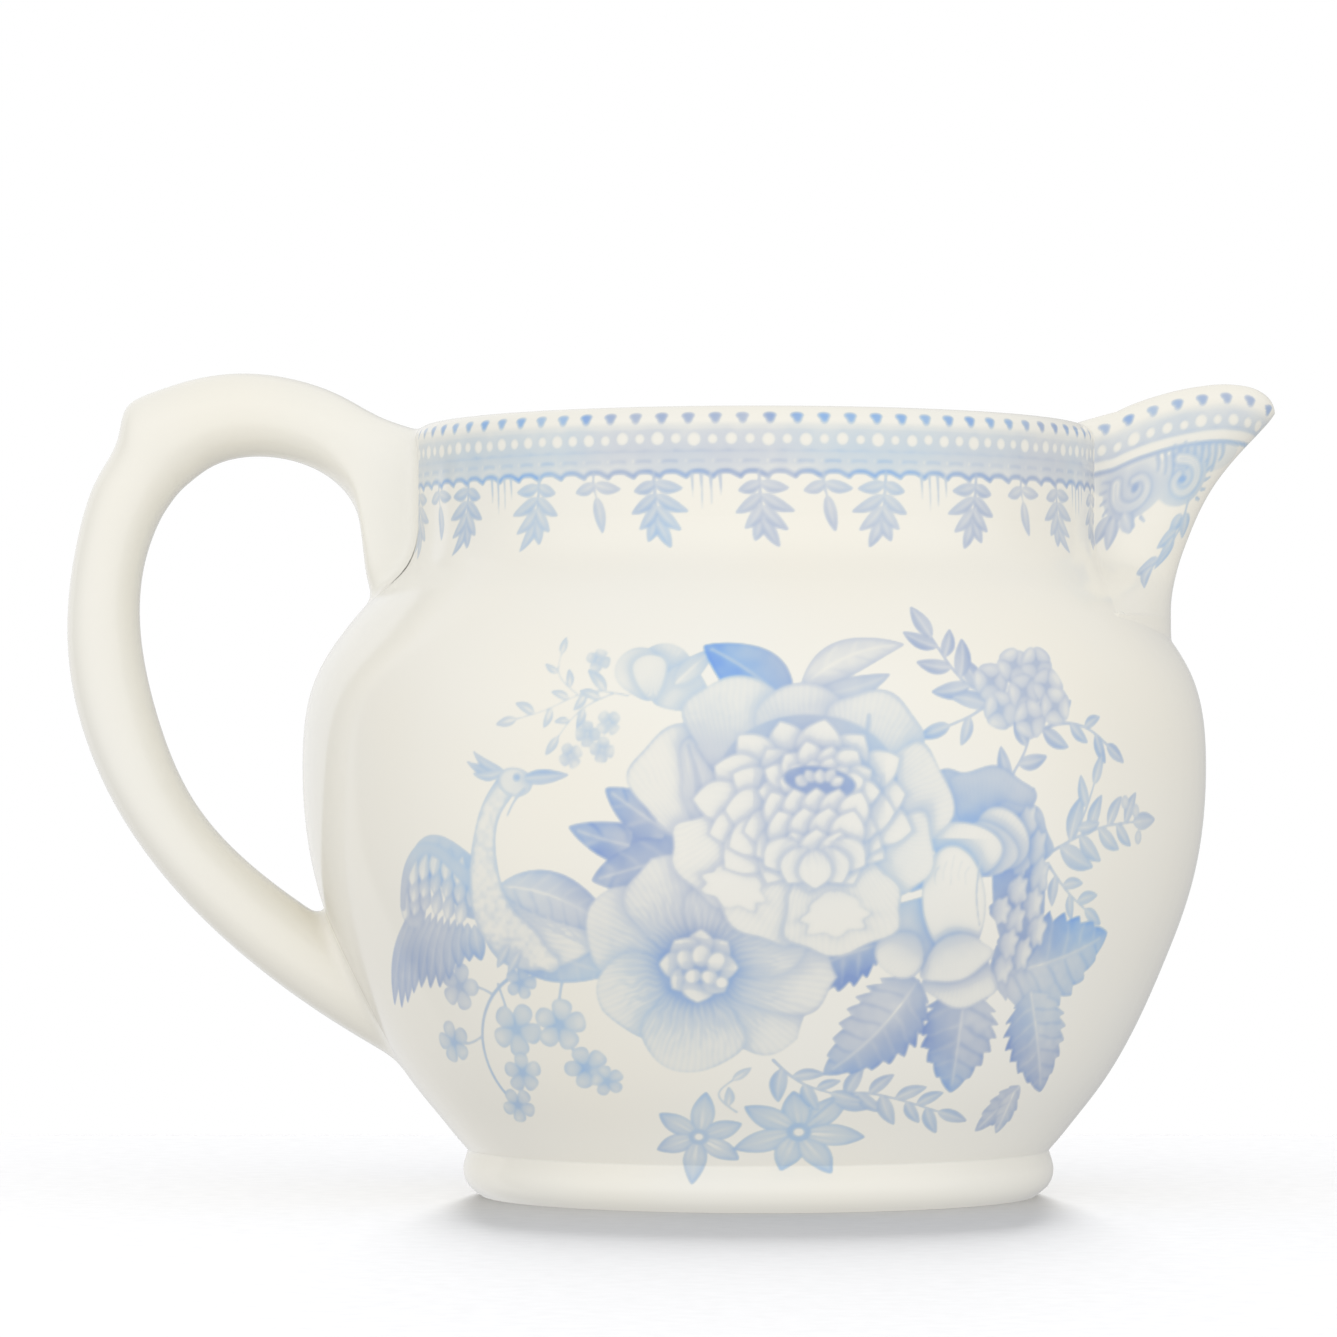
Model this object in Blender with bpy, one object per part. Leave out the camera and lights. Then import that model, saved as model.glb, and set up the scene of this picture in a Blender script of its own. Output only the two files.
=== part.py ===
"""A small round-bodied cream jug in glazed china, in metres, standing on Z = 0 with its spout towards +X.

The bowl with its neck, the foot ring, the pouring spout and the handle are separate castings, and two thin
layers of slip sit between the handle's roots and the bowl. Every shape is worked out about the turned axis,
which stands a little way towards the spout from the middle of the whole jug.
"""
import math

import bpy
import bmesh
import numpy as np

# Driving dimensions
AXIS_X = 0.0081          # from the middle of the whole jug to the axis of its turned body
GAP = 0.0003             # clear space between castings that touch
WALL = 0.0032            # bowl, neck and spout

RIM_Z = 0.0728
NECK_RADIUS = 0.0325
BELLY_RADIUS = 0.0428
BELLY_Z = 0.0408
BASE_RADIUS = 0.0275     # the pinch between the bowl and the foot ring
BASE_Z = 0.0043
FLOOR_Z = 0.0078         # inside

FOOT_RADIUS = 0.0279
FOOT_SOLE_OUTER = 0.0262
FOOT_SOLE_INNER = 0.0240
FOOT_INNER_RADIUS = 0.0226

SPOUT_BOTTOM_Z = 0.0525
SPOUT_THROAT = [(0.0396, 0.0525), (0.0396, 0.0554), (0.0403, 0.0592), (0.0416, 0.0630), (0.0435, 0.0668),
                (0.0465, 0.0706), (0.0483, 0.0725), (0.0497, 0.0743), (0.0506, 0.0775)]  # (radius, z)
SPOUT_LIP = [(0.0, 0.0728), (0.12, 0.0741), (0.26, 0.0752), (0.39, 0.0760), (0.53, 0.0767), (0.66, 0.0770),
             (0.8, 0.0771), (0.92, 0.0768), (1.0, 0.0759)]  # (share of the way round to the nose, z)

# Half the spout's width where it leaves the bowl and neck, as (half width, z)
SPOUT_HALF_WIDTH = [(0.0187, 0.0520), (0.0187, 0.0545), (0.0145, 0.0570), (0.0084, 0.0600), (0.0066, 0.0630),
                    (0.0062, 0.0670), (0.0062, 0.0728)]

LUTING_THICKNESS = 0.0007
LUTING_SPREAD = 0.0004   # how far the slip stands proud of the handle's root

TURN_STEPS = 64
SPOUT_COLUMNS = 25
HANDLE_SIDES = 20
SPOUT_LEVELS = np.concatenate([np.linspace(0.0, 0.42, 10), np.linspace(0.49, 0.93, 8)])  # shares of its height

# Outer line of the bowl from its base to the rim, as (radius, z)
BOWL_OUTLINE = [(BASE_RADIUS, BASE_Z), (0.0282, 0.0051), (0.0300, 0.0073), (0.0326, 0.0106), (0.0351, 0.0145),
                (0.0388, 0.0221), (0.0415, 0.0297), (BELLY_RADIUS, BELLY_Z), (0.0415, 0.0490), (0.0391, 0.0530),
                (0.0358, 0.0568), (0.0334, 0.0594), (NECK_RADIUS, 0.0628), (NECK_RADIUS, 0.0668)]

# Handle from its upper root to its lower one: (outer x, outer z), (inner x, inner z), half width across
HANDLE_RIBS = [
    ((-0.0310, 0.0722), (-0.0310, 0.0560), 0.0062),
    ((-0.0350, 0.0734), (-0.0358, 0.0565), 0.0060),
    ((-0.0395, 0.0759), (-0.0374, 0.0639), 0.0053),
    ((-0.0464, 0.0778), (-0.0438, 0.0696), 0.0050),
    ((-0.0538, 0.0772), (-0.0513, 0.0692), 0.0050),
    ((-0.0577, 0.0759), (-0.0536, 0.0676), 0.0050),
    ((-0.0596, 0.0748), (-0.0547, 0.0666), 0.0050),
    ((-0.0601, 0.0734), (-0.0554, 0.0657), 0.0050),
    ((-0.0605, 0.0714), (-0.0562, 0.0645), 0.0050),
    ((-0.0622, 0.0683), (-0.0572, 0.0623), 0.0050),
    ((-0.0641, 0.0628), (-0.0581, 0.0590), 0.0049),
    ((-0.0652, 0.0540), (-0.0583, 0.0532), 0.0049),
    ((-0.0637, 0.0440), (-0.0566, 0.0451), 0.0049),
    ((-0.0592, 0.0345), (-0.0532, 0.0373), 0.0049),
    ((-0.0509, 0.0248), (-0.0469, 0.0305), 0.0051),
    ((-0.0413, 0.0173), (-0.0405, 0.0259), 0.0056),
    ((-0.0330, 0.0123), (-0.0345, 0.0220), 0.0062),
]


def clear_scene():
    for thing in list(bpy.data.objects):
        bpy.data.objects.remove(thing)


def china(name, colour):
    material = bpy.data.materials.new(name)
    material.use_nodes = True
    shader = material.node_tree.nodes["Principled BSDF"]
    shader.inputs["Base Color"].default_value = (*colour, 1.0)
    shader.inputs["Roughness"].default_value = 0.12
    shader.inputs["Metallic"].default_value = 0.0
    return material


def smooth_line(points, count):
    """count points along the natural cubic curve through points, evenly spaced in chord length."""
    points = np.array(points, float)
    chords = np.linalg.norm(np.diff(points, axis=0), axis=1)
    at = np.concatenate([[0.0], np.cumsum(chords)])
    inner = len(points) - 2
    bend = np.zeros((len(points), len(points)))
    load = np.zeros_like(points)
    bend[0, 0] = bend[-1, -1] = 1.0
    for i in range(1, inner + 1):
        before, after = chords[i - 1], chords[i]
        bend[i, i - 1:i + 2] = before, 2 * (before + after), after
        load[i] = 6 * ((points[i + 1] - points[i]) / after - (points[i] - points[i - 1]) / before)
    curvature = np.linalg.solve(bend, load)
    wanted = np.linspace(0.0, at[-1], count)
    span = np.clip(np.searchsorted(at, wanted, side="right") - 1, 0, inner)
    length = chords[span][:, None]
    back = (at[span + 1] - wanted)[:, None] / length
    ahead = 1.0 - back
    curved = (back ** 3 - back) * curvature[span] + (ahead ** 3 - ahead) * curvature[span + 1]
    return back * points[span] + ahead * points[span + 1] + curved * length ** 2 / 6


def pushed_out(line, distance):
    """The line moved sideways by distance, to the right of its direction of travel."""
    along = np.gradient(line, axis=0)
    along /= np.linalg.norm(along, axis=1)[:, None]
    return line + distance * np.stack([along[:, 1], -along[:, 0]], axis=1)


def bowl_line():
    """Outer line of the bowl and neck, from the base up to where the rim's rounding begins."""
    curve = smooth_line(BOWL_OUTLINE, 26)
    curve[:, 0] = np.where(curve[:, 1] > 0.0628, NECK_RADIUS, curve[:, 0])
    return np.vstack([curve, [(NECK_RADIUS, RIM_Z - WALL / 2)]])


def radius_at(line, z):
    """Radius of the line above the belly at height z."""
    upper = line[line[:, 1] > BELLY_Z]
    return np.interp(z, upper[:, 1], upper[:, 0])


def arc(centre, radius, start, end, steps):
    """Points on an arc in the turning plane, its angles in degrees from the outward direction."""
    angles = np.radians(np.linspace(start, end, steps))
    return np.stack([centre[0] + radius * np.cos(angles), centre[1] + radius * np.sin(angles)], axis=1)


def mesh_object(name, points, faces, material):
    mesh = bpy.data.meshes.new(name)
    mesh.from_pydata([tuple(float(value) for value in point) for point in points], [], faces)
    thing = bpy.data.objects.new(name, mesh)
    bpy.context.scene.collection.objects.link(thing)
    shell = bmesh.new()
    shell.from_mesh(mesh)
    bmesh.ops.remove_doubles(shell, verts=shell.verts, dist=1e-6)
    bmesh.ops.recalc_face_normals(shell, faces=shell.faces)
    shell.to_mesh(mesh)
    shell.free()
    mesh.materials.append(material)
    mesh.shade_smooth()
    mesh.set_sharp_from_angle(angle=math.radians(40))
    return thing


def turned(name, outline, material):
    """A solid of revolution from a closed outline of (radius, z) points."""
    points = []
    for step in range(TURN_STEPS):
        angle = 2 * math.pi * step / TURN_STEPS
        points += [(r * math.cos(angle), r * math.sin(angle), z) for r, z in outline]
    count = len(outline)
    faces = []
    for step in range(TURN_STEPS):
        here, there = step * count, (step + 1) % TURN_STEPS * count
        for i in range(count):
            after = (i + 1) % count
            if outline[i][0] > 0 or outline[after][0] > 0:
                faces.append((here + i, there + i, there + after, here + after))
    return mesh_object(name, points, faces, material)


def lofted(name, rings, material):
    """A solid through rings of points, closed at each end by strips that join opposite points of the ring."""
    count = len(rings[0])
    points = [point for ring in rings for point in ring]
    faces = []
    for row in range(len(rings) - 1):
        here, there = row * count, (row + 1) * count
        for i in range(count):
            after = (i + 1) % count
            faces.append((here + i, here + after, there + after, there + i))
    for base in (0, (len(rings) - 1) * count):
        for i in range(count // 2 - 1):
            opposite = count - 1 - i
            faces.append((base + i, base + i + 1, base + opposite - 1, base + opposite))
    return mesh_object(name, points, faces, material)


def boolean(thing, cutter, operation):
    modifier = thing.modifiers.new(operation.lower() + "_" + cutter.name, "BOOLEAN")
    modifier.operation = operation
    modifier.object = cutter
    modifier.solver = "EXACT"


def helper(thing):
    thing.hide_render = True
    thing.display_type = "WIRE"
    return thing


def place_on_axis(thing, axis):
    thing.parent = axis


def make_bowl(outer, material):
    """The bowl and neck as one shell of even wall with a rounded rim and a flat floor."""
    inner = pushed_out(outer, -WALL)
    inner = inner[inner[:, 1] > FLOOR_Z + 0.003]
    floor_corner = [(inner[0, 0] - 0.0022, FLOOR_Z + 0.0006), (inner[0, 0] - 0.0060, FLOOR_Z)]
    rim = arc((NECK_RADIUS - WALL / 2, RIM_Z - WALL / 2), WALL / 2, 20, 160, 6)
    outline = [(0.0, BASE_Z), *outer, *rim, *inner[::-1], *floor_corner, (0.0, FLOOR_Z)]
    return turned("jug_body", outline, material)


def make_foot_ring(material):
    """The ring under the bowl: a rounded outer face, a flat sole and a recess inside it."""
    top = BASE_Z - GAP
    outer = smooth_line([(BASE_RADIUS, top), (FOOT_RADIUS, 0.0030), (FOOT_RADIUS - 0.0003, 0.0014),
                         (FOOT_SOLE_OUTER, 0.0)], 9)
    inner = [(FOOT_SOLE_INNER, 0.0), (FOOT_INNER_RADIUS + 0.0004, 0.0006), (FOOT_INNER_RADIUS, 0.0016),
             (FOOT_INNER_RADIUS, top)]
    return turned("foot_ring", [*outer, *inner], material)


def spout_half_width(z):
    line = smooth_line(SPOUT_HALF_WIDTH, 60)
    return np.interp(z, line[:, 1], line[:, 0])


def spout_ring(outer, inner, share, thinning):
    """One level of the spout's wall, share of the way from its bottom edge to its lip.

    The outside runs across the nose from one side of the window to the other, and the inside runs back.
    thinning is how much of the wall has been rounded away at this level.
    """
    throat = smooth_line(SPOUT_THROAT, 40)
    lip = smooth_line(SPOUT_LIP, 40)
    cut = WALL / 2 * thinning
    outside, inside = [], []
    for turn in np.linspace(-math.pi / 2, math.pi / 2, SPOUT_COLUMNS):
        nose = math.cos(turn)
        z = SPOUT_BOTTOM_Z + share * (np.interp(nose, lip[:, 0], lip[:, 1]) - SPOUT_BOTTOM_Z)
        width, reach = spout_half_width(z), np.interp(z, throat[:, 1], throat[:, 0])
        y = (width - cut * (nose > 0.01)) * math.sin(turn)
        bowl = math.sqrt(radius_at(outer, z) ** 2 - y ** 2)
        neck = math.sqrt(NECK_RADIUS ** 2 - y ** 2)
        outside.append((max(bowl, neck + (reach - NECK_RADIUS) * nose) - cut, y, z))
        y = (width - (WALL - cut) * (nose > 0.01)) * math.sin(turn)
        bowl = math.sqrt(radius_at(inner, z) ** 2 - y ** 2)
        neck = math.sqrt((NECK_RADIUS - WALL) ** 2 - y ** 2)
        inside.append((max(bowl, neck + (reach - NECK_RADIUS) * nose) + cut, y, z))
    return outside + inside[::-1]


def make_spout(outer, material):
    inner = pushed_out(outer, -WALL)
    levels = [(share, 0.0) for share in SPOUT_LEVELS] + [(0.975, 0.35), (1.0, 0.75)]
    rings = [spout_ring(outer, inner, share, thinning) for share, thinning in levels]
    return lofted("pouring_spout", rings, material)


def spout_window():
    """Cutter for the opening in the neck that the spout fills, one gap larger than the spout all round."""
    rings = []
    levels = SPOUT_BOTTOM_Z + SPOUT_LEVELS * (RIM_Z - SPOUT_BOTTOM_Z)
    for z in [SPOUT_BOTTOM_Z - GAP, *levels[1:], RIM_Z + 0.006]:
        half = spout_half_width(z - GAP) + GAP
        rings.append([(0.020, -half, z), (0.060, -half, z), (0.060, half, z), (0.020, half, z)])
    return helper(lofted("spout_window", rings, china("cutter", (0.5, 0.5, 0.5))))


def handle_rings(first, last, grow):
    """Oval rings through the handle's ribs, from rib number first to last."""
    ribs = np.array([(*outside, *inside, half) for outside, inside, half in HANDLE_RIBS])[first:last + 1]
    rings = []
    for ox, oz, ix, iz, half in smooth_line(ribs, 4 * len(ribs)):
        centre = np.array([(ox + ix) / 2, 0.0, (oz + iz) / 2])
        reach = np.array([(ox - ix) / 2, 0.0, (oz - iz) / 2])
        reach *= 1 + grow / np.linalg.norm(reach)
        ring = []
        for side in range(HANDLE_SIDES):
            angle = 2 * math.pi * (side + 0.5) / HANDLE_SIDES
            ring.append(centre + math.cos(angle) * reach + math.sin(angle) * np.array([0.0, half + grow, 0.0]))
        rings.append(ring)
    return rings


def grown_bowl(outer, distance):
    """A solid filling the bowl's outer shape, pushed out by distance. It cuts what joins the bowl."""
    line = pushed_out(outer, distance)
    outline = [(0.0, BASE_Z - 0.001), (line[0, 0], BASE_Z - 0.001), *line,
               (line[-1, 0], RIM_Z + 0.02), (0.0, RIM_Z + 0.02)]
    name = "grown_bowl_%d" % round(distance * 1e5)
    return helper(turned(name, outline, china("cutter", (0.5, 0.5, 0.5))))


def make_handle(clearance, material):
    handle = lofted("handle", handle_rings(0, len(HANDLE_RIBS) - 1, 0.0), material)
    boolean(handle, clearance, "DIFFERENCE")
    return handle


def make_luting(name, first, last, layer_outside, layer_inside, material):
    """The slip between one root of the handle and the bowl: a thin slice of that root."""
    luting = lofted(name, handle_rings(first, last, LUTING_SPREAD), material)
    boolean(luting, layer_outside, "INTERSECT")
    boolean(luting, layer_inside, "DIFFERENCE")
    return luting


def main():
    clear_scene()
    cream = china("cream_glaze", (0.86, 0.83, 0.75))
    spout_cream = china("spout_glaze", (0.84, 0.83, 0.78))
    handle_cream = china("handle_glaze", (0.87, 0.85, 0.78))
    foot_cream = china("foot_glaze", (0.85, 0.83, 0.76))
    slip = china("slip_joint", (0.82, 0.79, 0.71))

    axis = bpy.data.objects.new("turned_axis", None)
    axis.location = (AXIS_X, 0.0, 0.0)
    bpy.context.scene.collection.objects.link(axis)

    outer = bowl_line()
    window = spout_window()
    at_slip = grown_bowl(outer, GAP)
    past_slip = grown_bowl(outer, GAP + LUTING_THICKNESS)
    at_handle = grown_bowl(outer, 2 * GAP + LUTING_THICKNESS)

    bowl = make_bowl(outer, cream)
    boolean(bowl, window, "DIFFERENCE")
    foot = make_foot_ring(foot_cream)
    spout = make_spout(outer, spout_cream)
    handle = make_handle(at_handle, handle_cream)
    upper = make_luting("handle_upper_luting", 0, 2, past_slip, at_slip, slip)
    lower = make_luting("handle_lower_luting", len(HANDLE_RIBS) - 3, len(HANDLE_RIBS) - 1, past_slip, at_slip, slip)
    for thing in (window, at_slip, past_slip, at_handle, bowl, foot, spout, handle, upper, lower):
        place_on_axis(thing, axis)


main()
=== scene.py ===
import math
import bpy
import numpy as np
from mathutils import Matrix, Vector


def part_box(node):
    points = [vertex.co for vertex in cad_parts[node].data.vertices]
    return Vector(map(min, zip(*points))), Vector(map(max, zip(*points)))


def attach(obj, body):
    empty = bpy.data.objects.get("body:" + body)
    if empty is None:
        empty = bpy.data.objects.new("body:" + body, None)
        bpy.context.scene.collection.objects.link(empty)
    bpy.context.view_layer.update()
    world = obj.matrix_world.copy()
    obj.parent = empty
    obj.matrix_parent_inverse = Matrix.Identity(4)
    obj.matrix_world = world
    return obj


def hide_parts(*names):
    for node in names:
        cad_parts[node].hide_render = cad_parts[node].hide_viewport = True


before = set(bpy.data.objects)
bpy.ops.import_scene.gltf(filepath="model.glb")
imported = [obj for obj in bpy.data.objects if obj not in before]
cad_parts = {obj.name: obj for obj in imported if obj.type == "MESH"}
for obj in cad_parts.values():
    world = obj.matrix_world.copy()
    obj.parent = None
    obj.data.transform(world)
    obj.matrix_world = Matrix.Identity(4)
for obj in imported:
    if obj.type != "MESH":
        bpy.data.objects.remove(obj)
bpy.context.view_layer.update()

MM = 0.001

# Places read from the frame, in millimetres about the turned axis
body_low, body_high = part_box("jug_body")
AXIS_X = (body_low.x + body_high.x) / 2
RIM_Z = body_high.z / MM
BELLY_RADIUS = (body_high.y - body_low.y) / 2 / MM
SPOUT_BOTTOM_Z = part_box("pouring_spout")[0].z / MM

# Shape, in millimetres
WALL = 3.2
NECK_RADIUS = 32.5
PINCH_Z = 4.3
FOOT_OUTLINE = [(26.2, 0.0), (27.5, 1.1), (27.95, 2.6), (27.7, 3.7), (27.5, PINCH_Z)]
BOWL_OUTLINE = [(27.5, PINCH_Z), (28.2, 5.1), (30.0, 7.3), (32.6, 10.6), (35.1, 14.5), (38.8, 22.1),
                (41.5, 29.7),
                (BELLY_RADIUS, 40.8), (41.5, 49.0), (39.1, 53.0), (35.8, 56.8), (33.4, 59.4),
                (NECK_RADIUS, 62.8), (NECK_RADIUS, 66.8)]
SPOUT_THROAT = [(39.6, 52.3), (39.6, 55.4), (40.3, 59.2), (41.6, 63.0), (43.5, 66.8), (46.5, 70.6),
                (48.3, 72.5),
                (49.7, 74.3), (50.6, 77.5)]
SPOUT_LIP = [(0.0, RIM_Z), (0.06, 73.5), (0.12, 74.1), (0.26, 75.2), (0.39, 76.0), (0.53, 76.7), (0.66, 77.0),
             (0.8, 77.1), (0.92, 76.8), (1.0, 75.9)]
SPOUT_HALF_WIDTH = [(18.7, 54.5), (14.5, 57.0), (8.4, 60.0), (6.6, 63.0), (6.2, 67.0), (6.2, 72.8)]
SPOUT_WALL = 2.4
SPOUT_SPREAD_Z = 54.5
CHANNEL_CORNER = 87.0      # where the channel's wall meets the neck's inside, in degrees of turn
SPOUT_BASE_BEND = 0.0179
HANDLE_RIBS = [
    ((-31.0, 72.2), (-31.0, 56.0), 6.2),
    ((-35.0, 73.5), (-35.8, 56.5), 6.0),
    ((-39.5, 75.9), (-37.4, 63.9), 5.3),
    ((-46.4, 77.8), (-43.8, 69.6), 5.0),
    ((-53.8, 77.2), (-51.3, 69.2), 5.0),
    ((-57.7, 75.9), (-53.6, 67.6), 5.0),
    ((-59.6, 74.8), (-54.7, 66.6), 5.0),
    ((-60.1, 73.4), (-55.4, 65.7), 5.0),
    ((-60.5, 71.4), (-56.2, 64.5), 5.0),
    ((-62.2, 68.3), (-57.2, 62.3), 5.0),
    ((-64.1, 62.8), (-58.1, 59.0), 4.9),
    ((-65.2, 54.0), (-58.3, 53.2), 4.9),
    ((-63.7, 44.0), (-56.6, 45.1), 4.9),
    ((-59.2, 34.5), (-53.2, 37.3), 4.9),
    ((-50.9, 24.8), (-46.9, 30.5), 5.1),
    ((-41.3, 17.3), (-40.5, 25.9), 5.6),
    ((-33.0, 12.3), (-34.5, 22.0), 6.2),
]

ROUND_POWER = 2.25         # how square the handle is across, along its length and at its upper root
ROOT_POWER = 4.2

FOOT_LEAN = 0.4            # the foot stands a little towards the spout from the axis of the belly
SOLE_INNER = 24.0
SOLE = [(26.2, 0.0), (25.6, 0.0), (24.6, 0.0), (SOLE_INNER, 0.25)]
CHANNEL_VIEW_Z = 58.0      # the skins with the print run on inside the neck down to here
RIM_STEPS = 16
INSIDE_FLOOR = [(30.6, 15.0), (29.0, 12.2), (26.0, 9.4), (21.0, 8.1), (12.0, 7.8), (0.02, 7.8)]
RECESS = [(SOLE_INNER, 0.25), (23.2, 0.7), (22.7, 2.0), (22.2, 3.4), (20.6, 4.1), (12.0, 4.3), (0.02, 4.35)]

# Print
DROP_PITCH = 2.46
BEAD_PITCH = 1.68
PENDANT_REPEAT = 21.3
BORDER_END = 43.0          # from the middle of the side to the handle's root

# Colours of the glaze and of the print under it, from the faintest wash to the strongest line
GLAZE_WARM = (242, 238, 226)
GLAZE_COOL = (241, 239, 231)
INK_BLUE = [(0.0, (240, 237, 228)), (0.12, (226, 228, 224)), (0.25, (208, 217, 222)), (0.5, (180, 202, 223)),
            (0.75, (148, 184, 227)), (1.0, (116, 161, 231))]
INK_VIOLET = [(0.0, (240, 237, 228)), (0.12, (226, 227, 223)), (0.25, (210, 214, 219)),
              (0.5, (185, 195, 212)),
              (0.75, (162, 179, 209)), (1.0, (138, 160, 206))]

# Light of the tent's walls and roof, and the cosine of the angle that the lit screen behind reaches to
WALL_LIGHT = 0.61
FRONT_LIGHT = 0.66
SCREEN_LIGHT = 0.42
SCREEN_EDGE = 0.52
ROOF_LIGHT = 0.92
BELOW_LIGHT = 0.66
BELOW_EDGE = -0.3
FLOOR_LIGHT = 40.0
FLOOR_LIGHT_SPREAD = 14.0
FLOOR_LIGHT_HEIGHT = 2.5
FLOOR_LIGHT_TURN = -1.0
PAPER_SIZE = 0.6           # metres
PAPER_BACK = 0.1           # metres

# How the glaze eases the shoulder below the spout: the heights it takes in, where it fades, and its bell
SHOULDER_ROWS = (54.0, 63.0)
SHOULDER_TOP = (62.5, 60.0)
SHOULDER_BOTTOM = (54.5, 56.5)
SHOULDER_BELL = 10

# Handle: rows and sides of its skin, and how far its roots flare from the bowl's surface and along it
HANDLE_RINGS, HANDLE_SIDES, HANDLE_ROWS = 420, 96, 360
UPPER_START, UPPER_START_TOP = 1.2, 0.7
UPPER_SPREAD, UPPER_SPREAD_TOP = 1.6, 1.0
LOWER_START, LOWER_SPREAD = 1.4, 1.8
UPPER_STEPS, LOWER_STEPS = 14, 16

# Camera, level with the jug's middle: millimetres of lens on the sensor, metres and degrees
SENSOR_WIDTH = 36.0
LENS = 157.516829
CAMERA_DISTANCE = 0.5558
CAMERA_HEIGHT = 0.0367
CAMERA_RISE = 1.356

# How finely the skins are divided, in millimetres between points where the print is
PITCH = 0.15
ACROSS_SPOUT = 361
AROUND_BOWL = 1639
PANEL_Z = 51.0             # the bowl's panels end here and the neck's begin


def smooth_line(points, count):
    """count points along the natural cubic curve through points, evenly spaced in chord length."""
    points = np.array(points, float)
    chords = np.linalg.norm(np.diff(points, axis=0), axis=1)
    at = np.concatenate([[0.0], np.cumsum(chords)])
    inner = len(points) - 2
    bend = np.zeros((len(points), len(points)))
    load = np.zeros_like(points)
    bend[0, 0] = bend[-1, -1] = 1.0
    for i in range(1, inner + 1):
        before, after = chords[i - 1], chords[i]
        bend[i, i - 1:i + 2] = before, 2 * (before + after), after
        load[i] = 6 * ((points[i + 1] - points[i]) / after - (points[i] - points[i - 1]) / before)
    curvature = np.linalg.solve(bend, load)
    wanted = np.linspace(0.0, at[-1], count)
    span = np.clip(np.searchsorted(at, wanted, side="right") - 1, 0, inner)
    length = chords[span][:, None]
    back = (at[span + 1] - wanted)[:, None] / length
    ahead = 1.0 - back
    curved = (back ** 3 - back) * curvature[span] + (ahead ** 3 - ahead) * curvature[span + 1]
    return back * points[span] + ahead * points[span + 1] + curved * length ** 2 / 6


def pushed_out(line, distance):
    """The line moved sideways by distance, to the right of its direction of travel."""
    along = np.gradient(line, axis=0)
    along /= np.linalg.norm(along, axis=1)[:, None]
    return line + distance * np.stack([along[:, 1], -along[:, 0]], axis=1)


def smooth_step(low, high, value):
    share = np.clip((value - low) / (high - low), 0.0, 1.0)
    return share * share * (3 - 2 * share)


def soft_max(a, b, reach):
    """The larger of a and b, rounded where they are within reach of each other."""
    near = np.maximum(reach - np.abs(a - b), 0.0) / reach
    return np.maximum(a, b) + near * near * reach / 4


OUTER = smooth_line(BOWL_OUTLINE, 900)
OUTER[:, 0] = np.where(OUTER[:, 1] > 62.8, NECK_RADIUS, OUTER[:, 0])
OUTER = np.vstack([OUTER, [(NECK_RADIUS, RIM_Z + 6.0)]])
INNER = pushed_out(OUTER, -WALL)
THROAT = smooth_line(SPOUT_THROAT, 200)
LIP = smooth_line(SPOUT_LIP, 200)
HALF_WIDTH = smooth_line(SPOUT_HALF_WIDTH, 200)


def outer_radius(z):
    return np.interp(z, OUTER[:, 1], OUTER[:, 0])


def inner_radius(z):
    return np.interp(z, INNER[:, 1], INNER[:, 0])


def spout_half_width(z):
    """Half the width of the spout where it leaves the neck, and of its spread on the shoulder."""
    return np.interp(z, HALF_WIDTH[:, 1], HALF_WIDTH[:, 0])


def column_half_width(z):
    """Half the width that the spout's columns take up. Below the spout they follow the bowl's meridians."""
    meridian = SPOUT_HALF_WIDTH[0][0] / outer_radius(SPOUT_SPREAD_Z)
    return np.where(z < SPOUT_SPREAD_Z, outer_radius(z) * meridian, spout_half_width(z))


def nose(z, radius, width, reach, across, softness):
    """How far the spout's wall stands out at a point across from its middle line."""
    side = np.sqrt(radius ** 2 - width ** 2)
    power = 0.5 + 0.5 * smooth_step(64.0, 57.0, z)
    share = np.clip(1 - (across / width) ** 2, 0.0, 1.0) ** power
    beak = np.where(z < SPOUT_SPREAD_Z, reach - SPOUT_BASE_BEND * across ** 2, side + (reach - side) * share)
    wall = np.sqrt(radius ** 2 - across ** 2)
    softness = np.maximum(softness * (1 - np.clip(np.abs(across) / width, 0.0, 1.0) ** 6), 0.02)
    return np.where(z < SPOUT_BOTTOM_Z - 0.5, wall, soft_max(wall, beak, softness))


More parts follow.
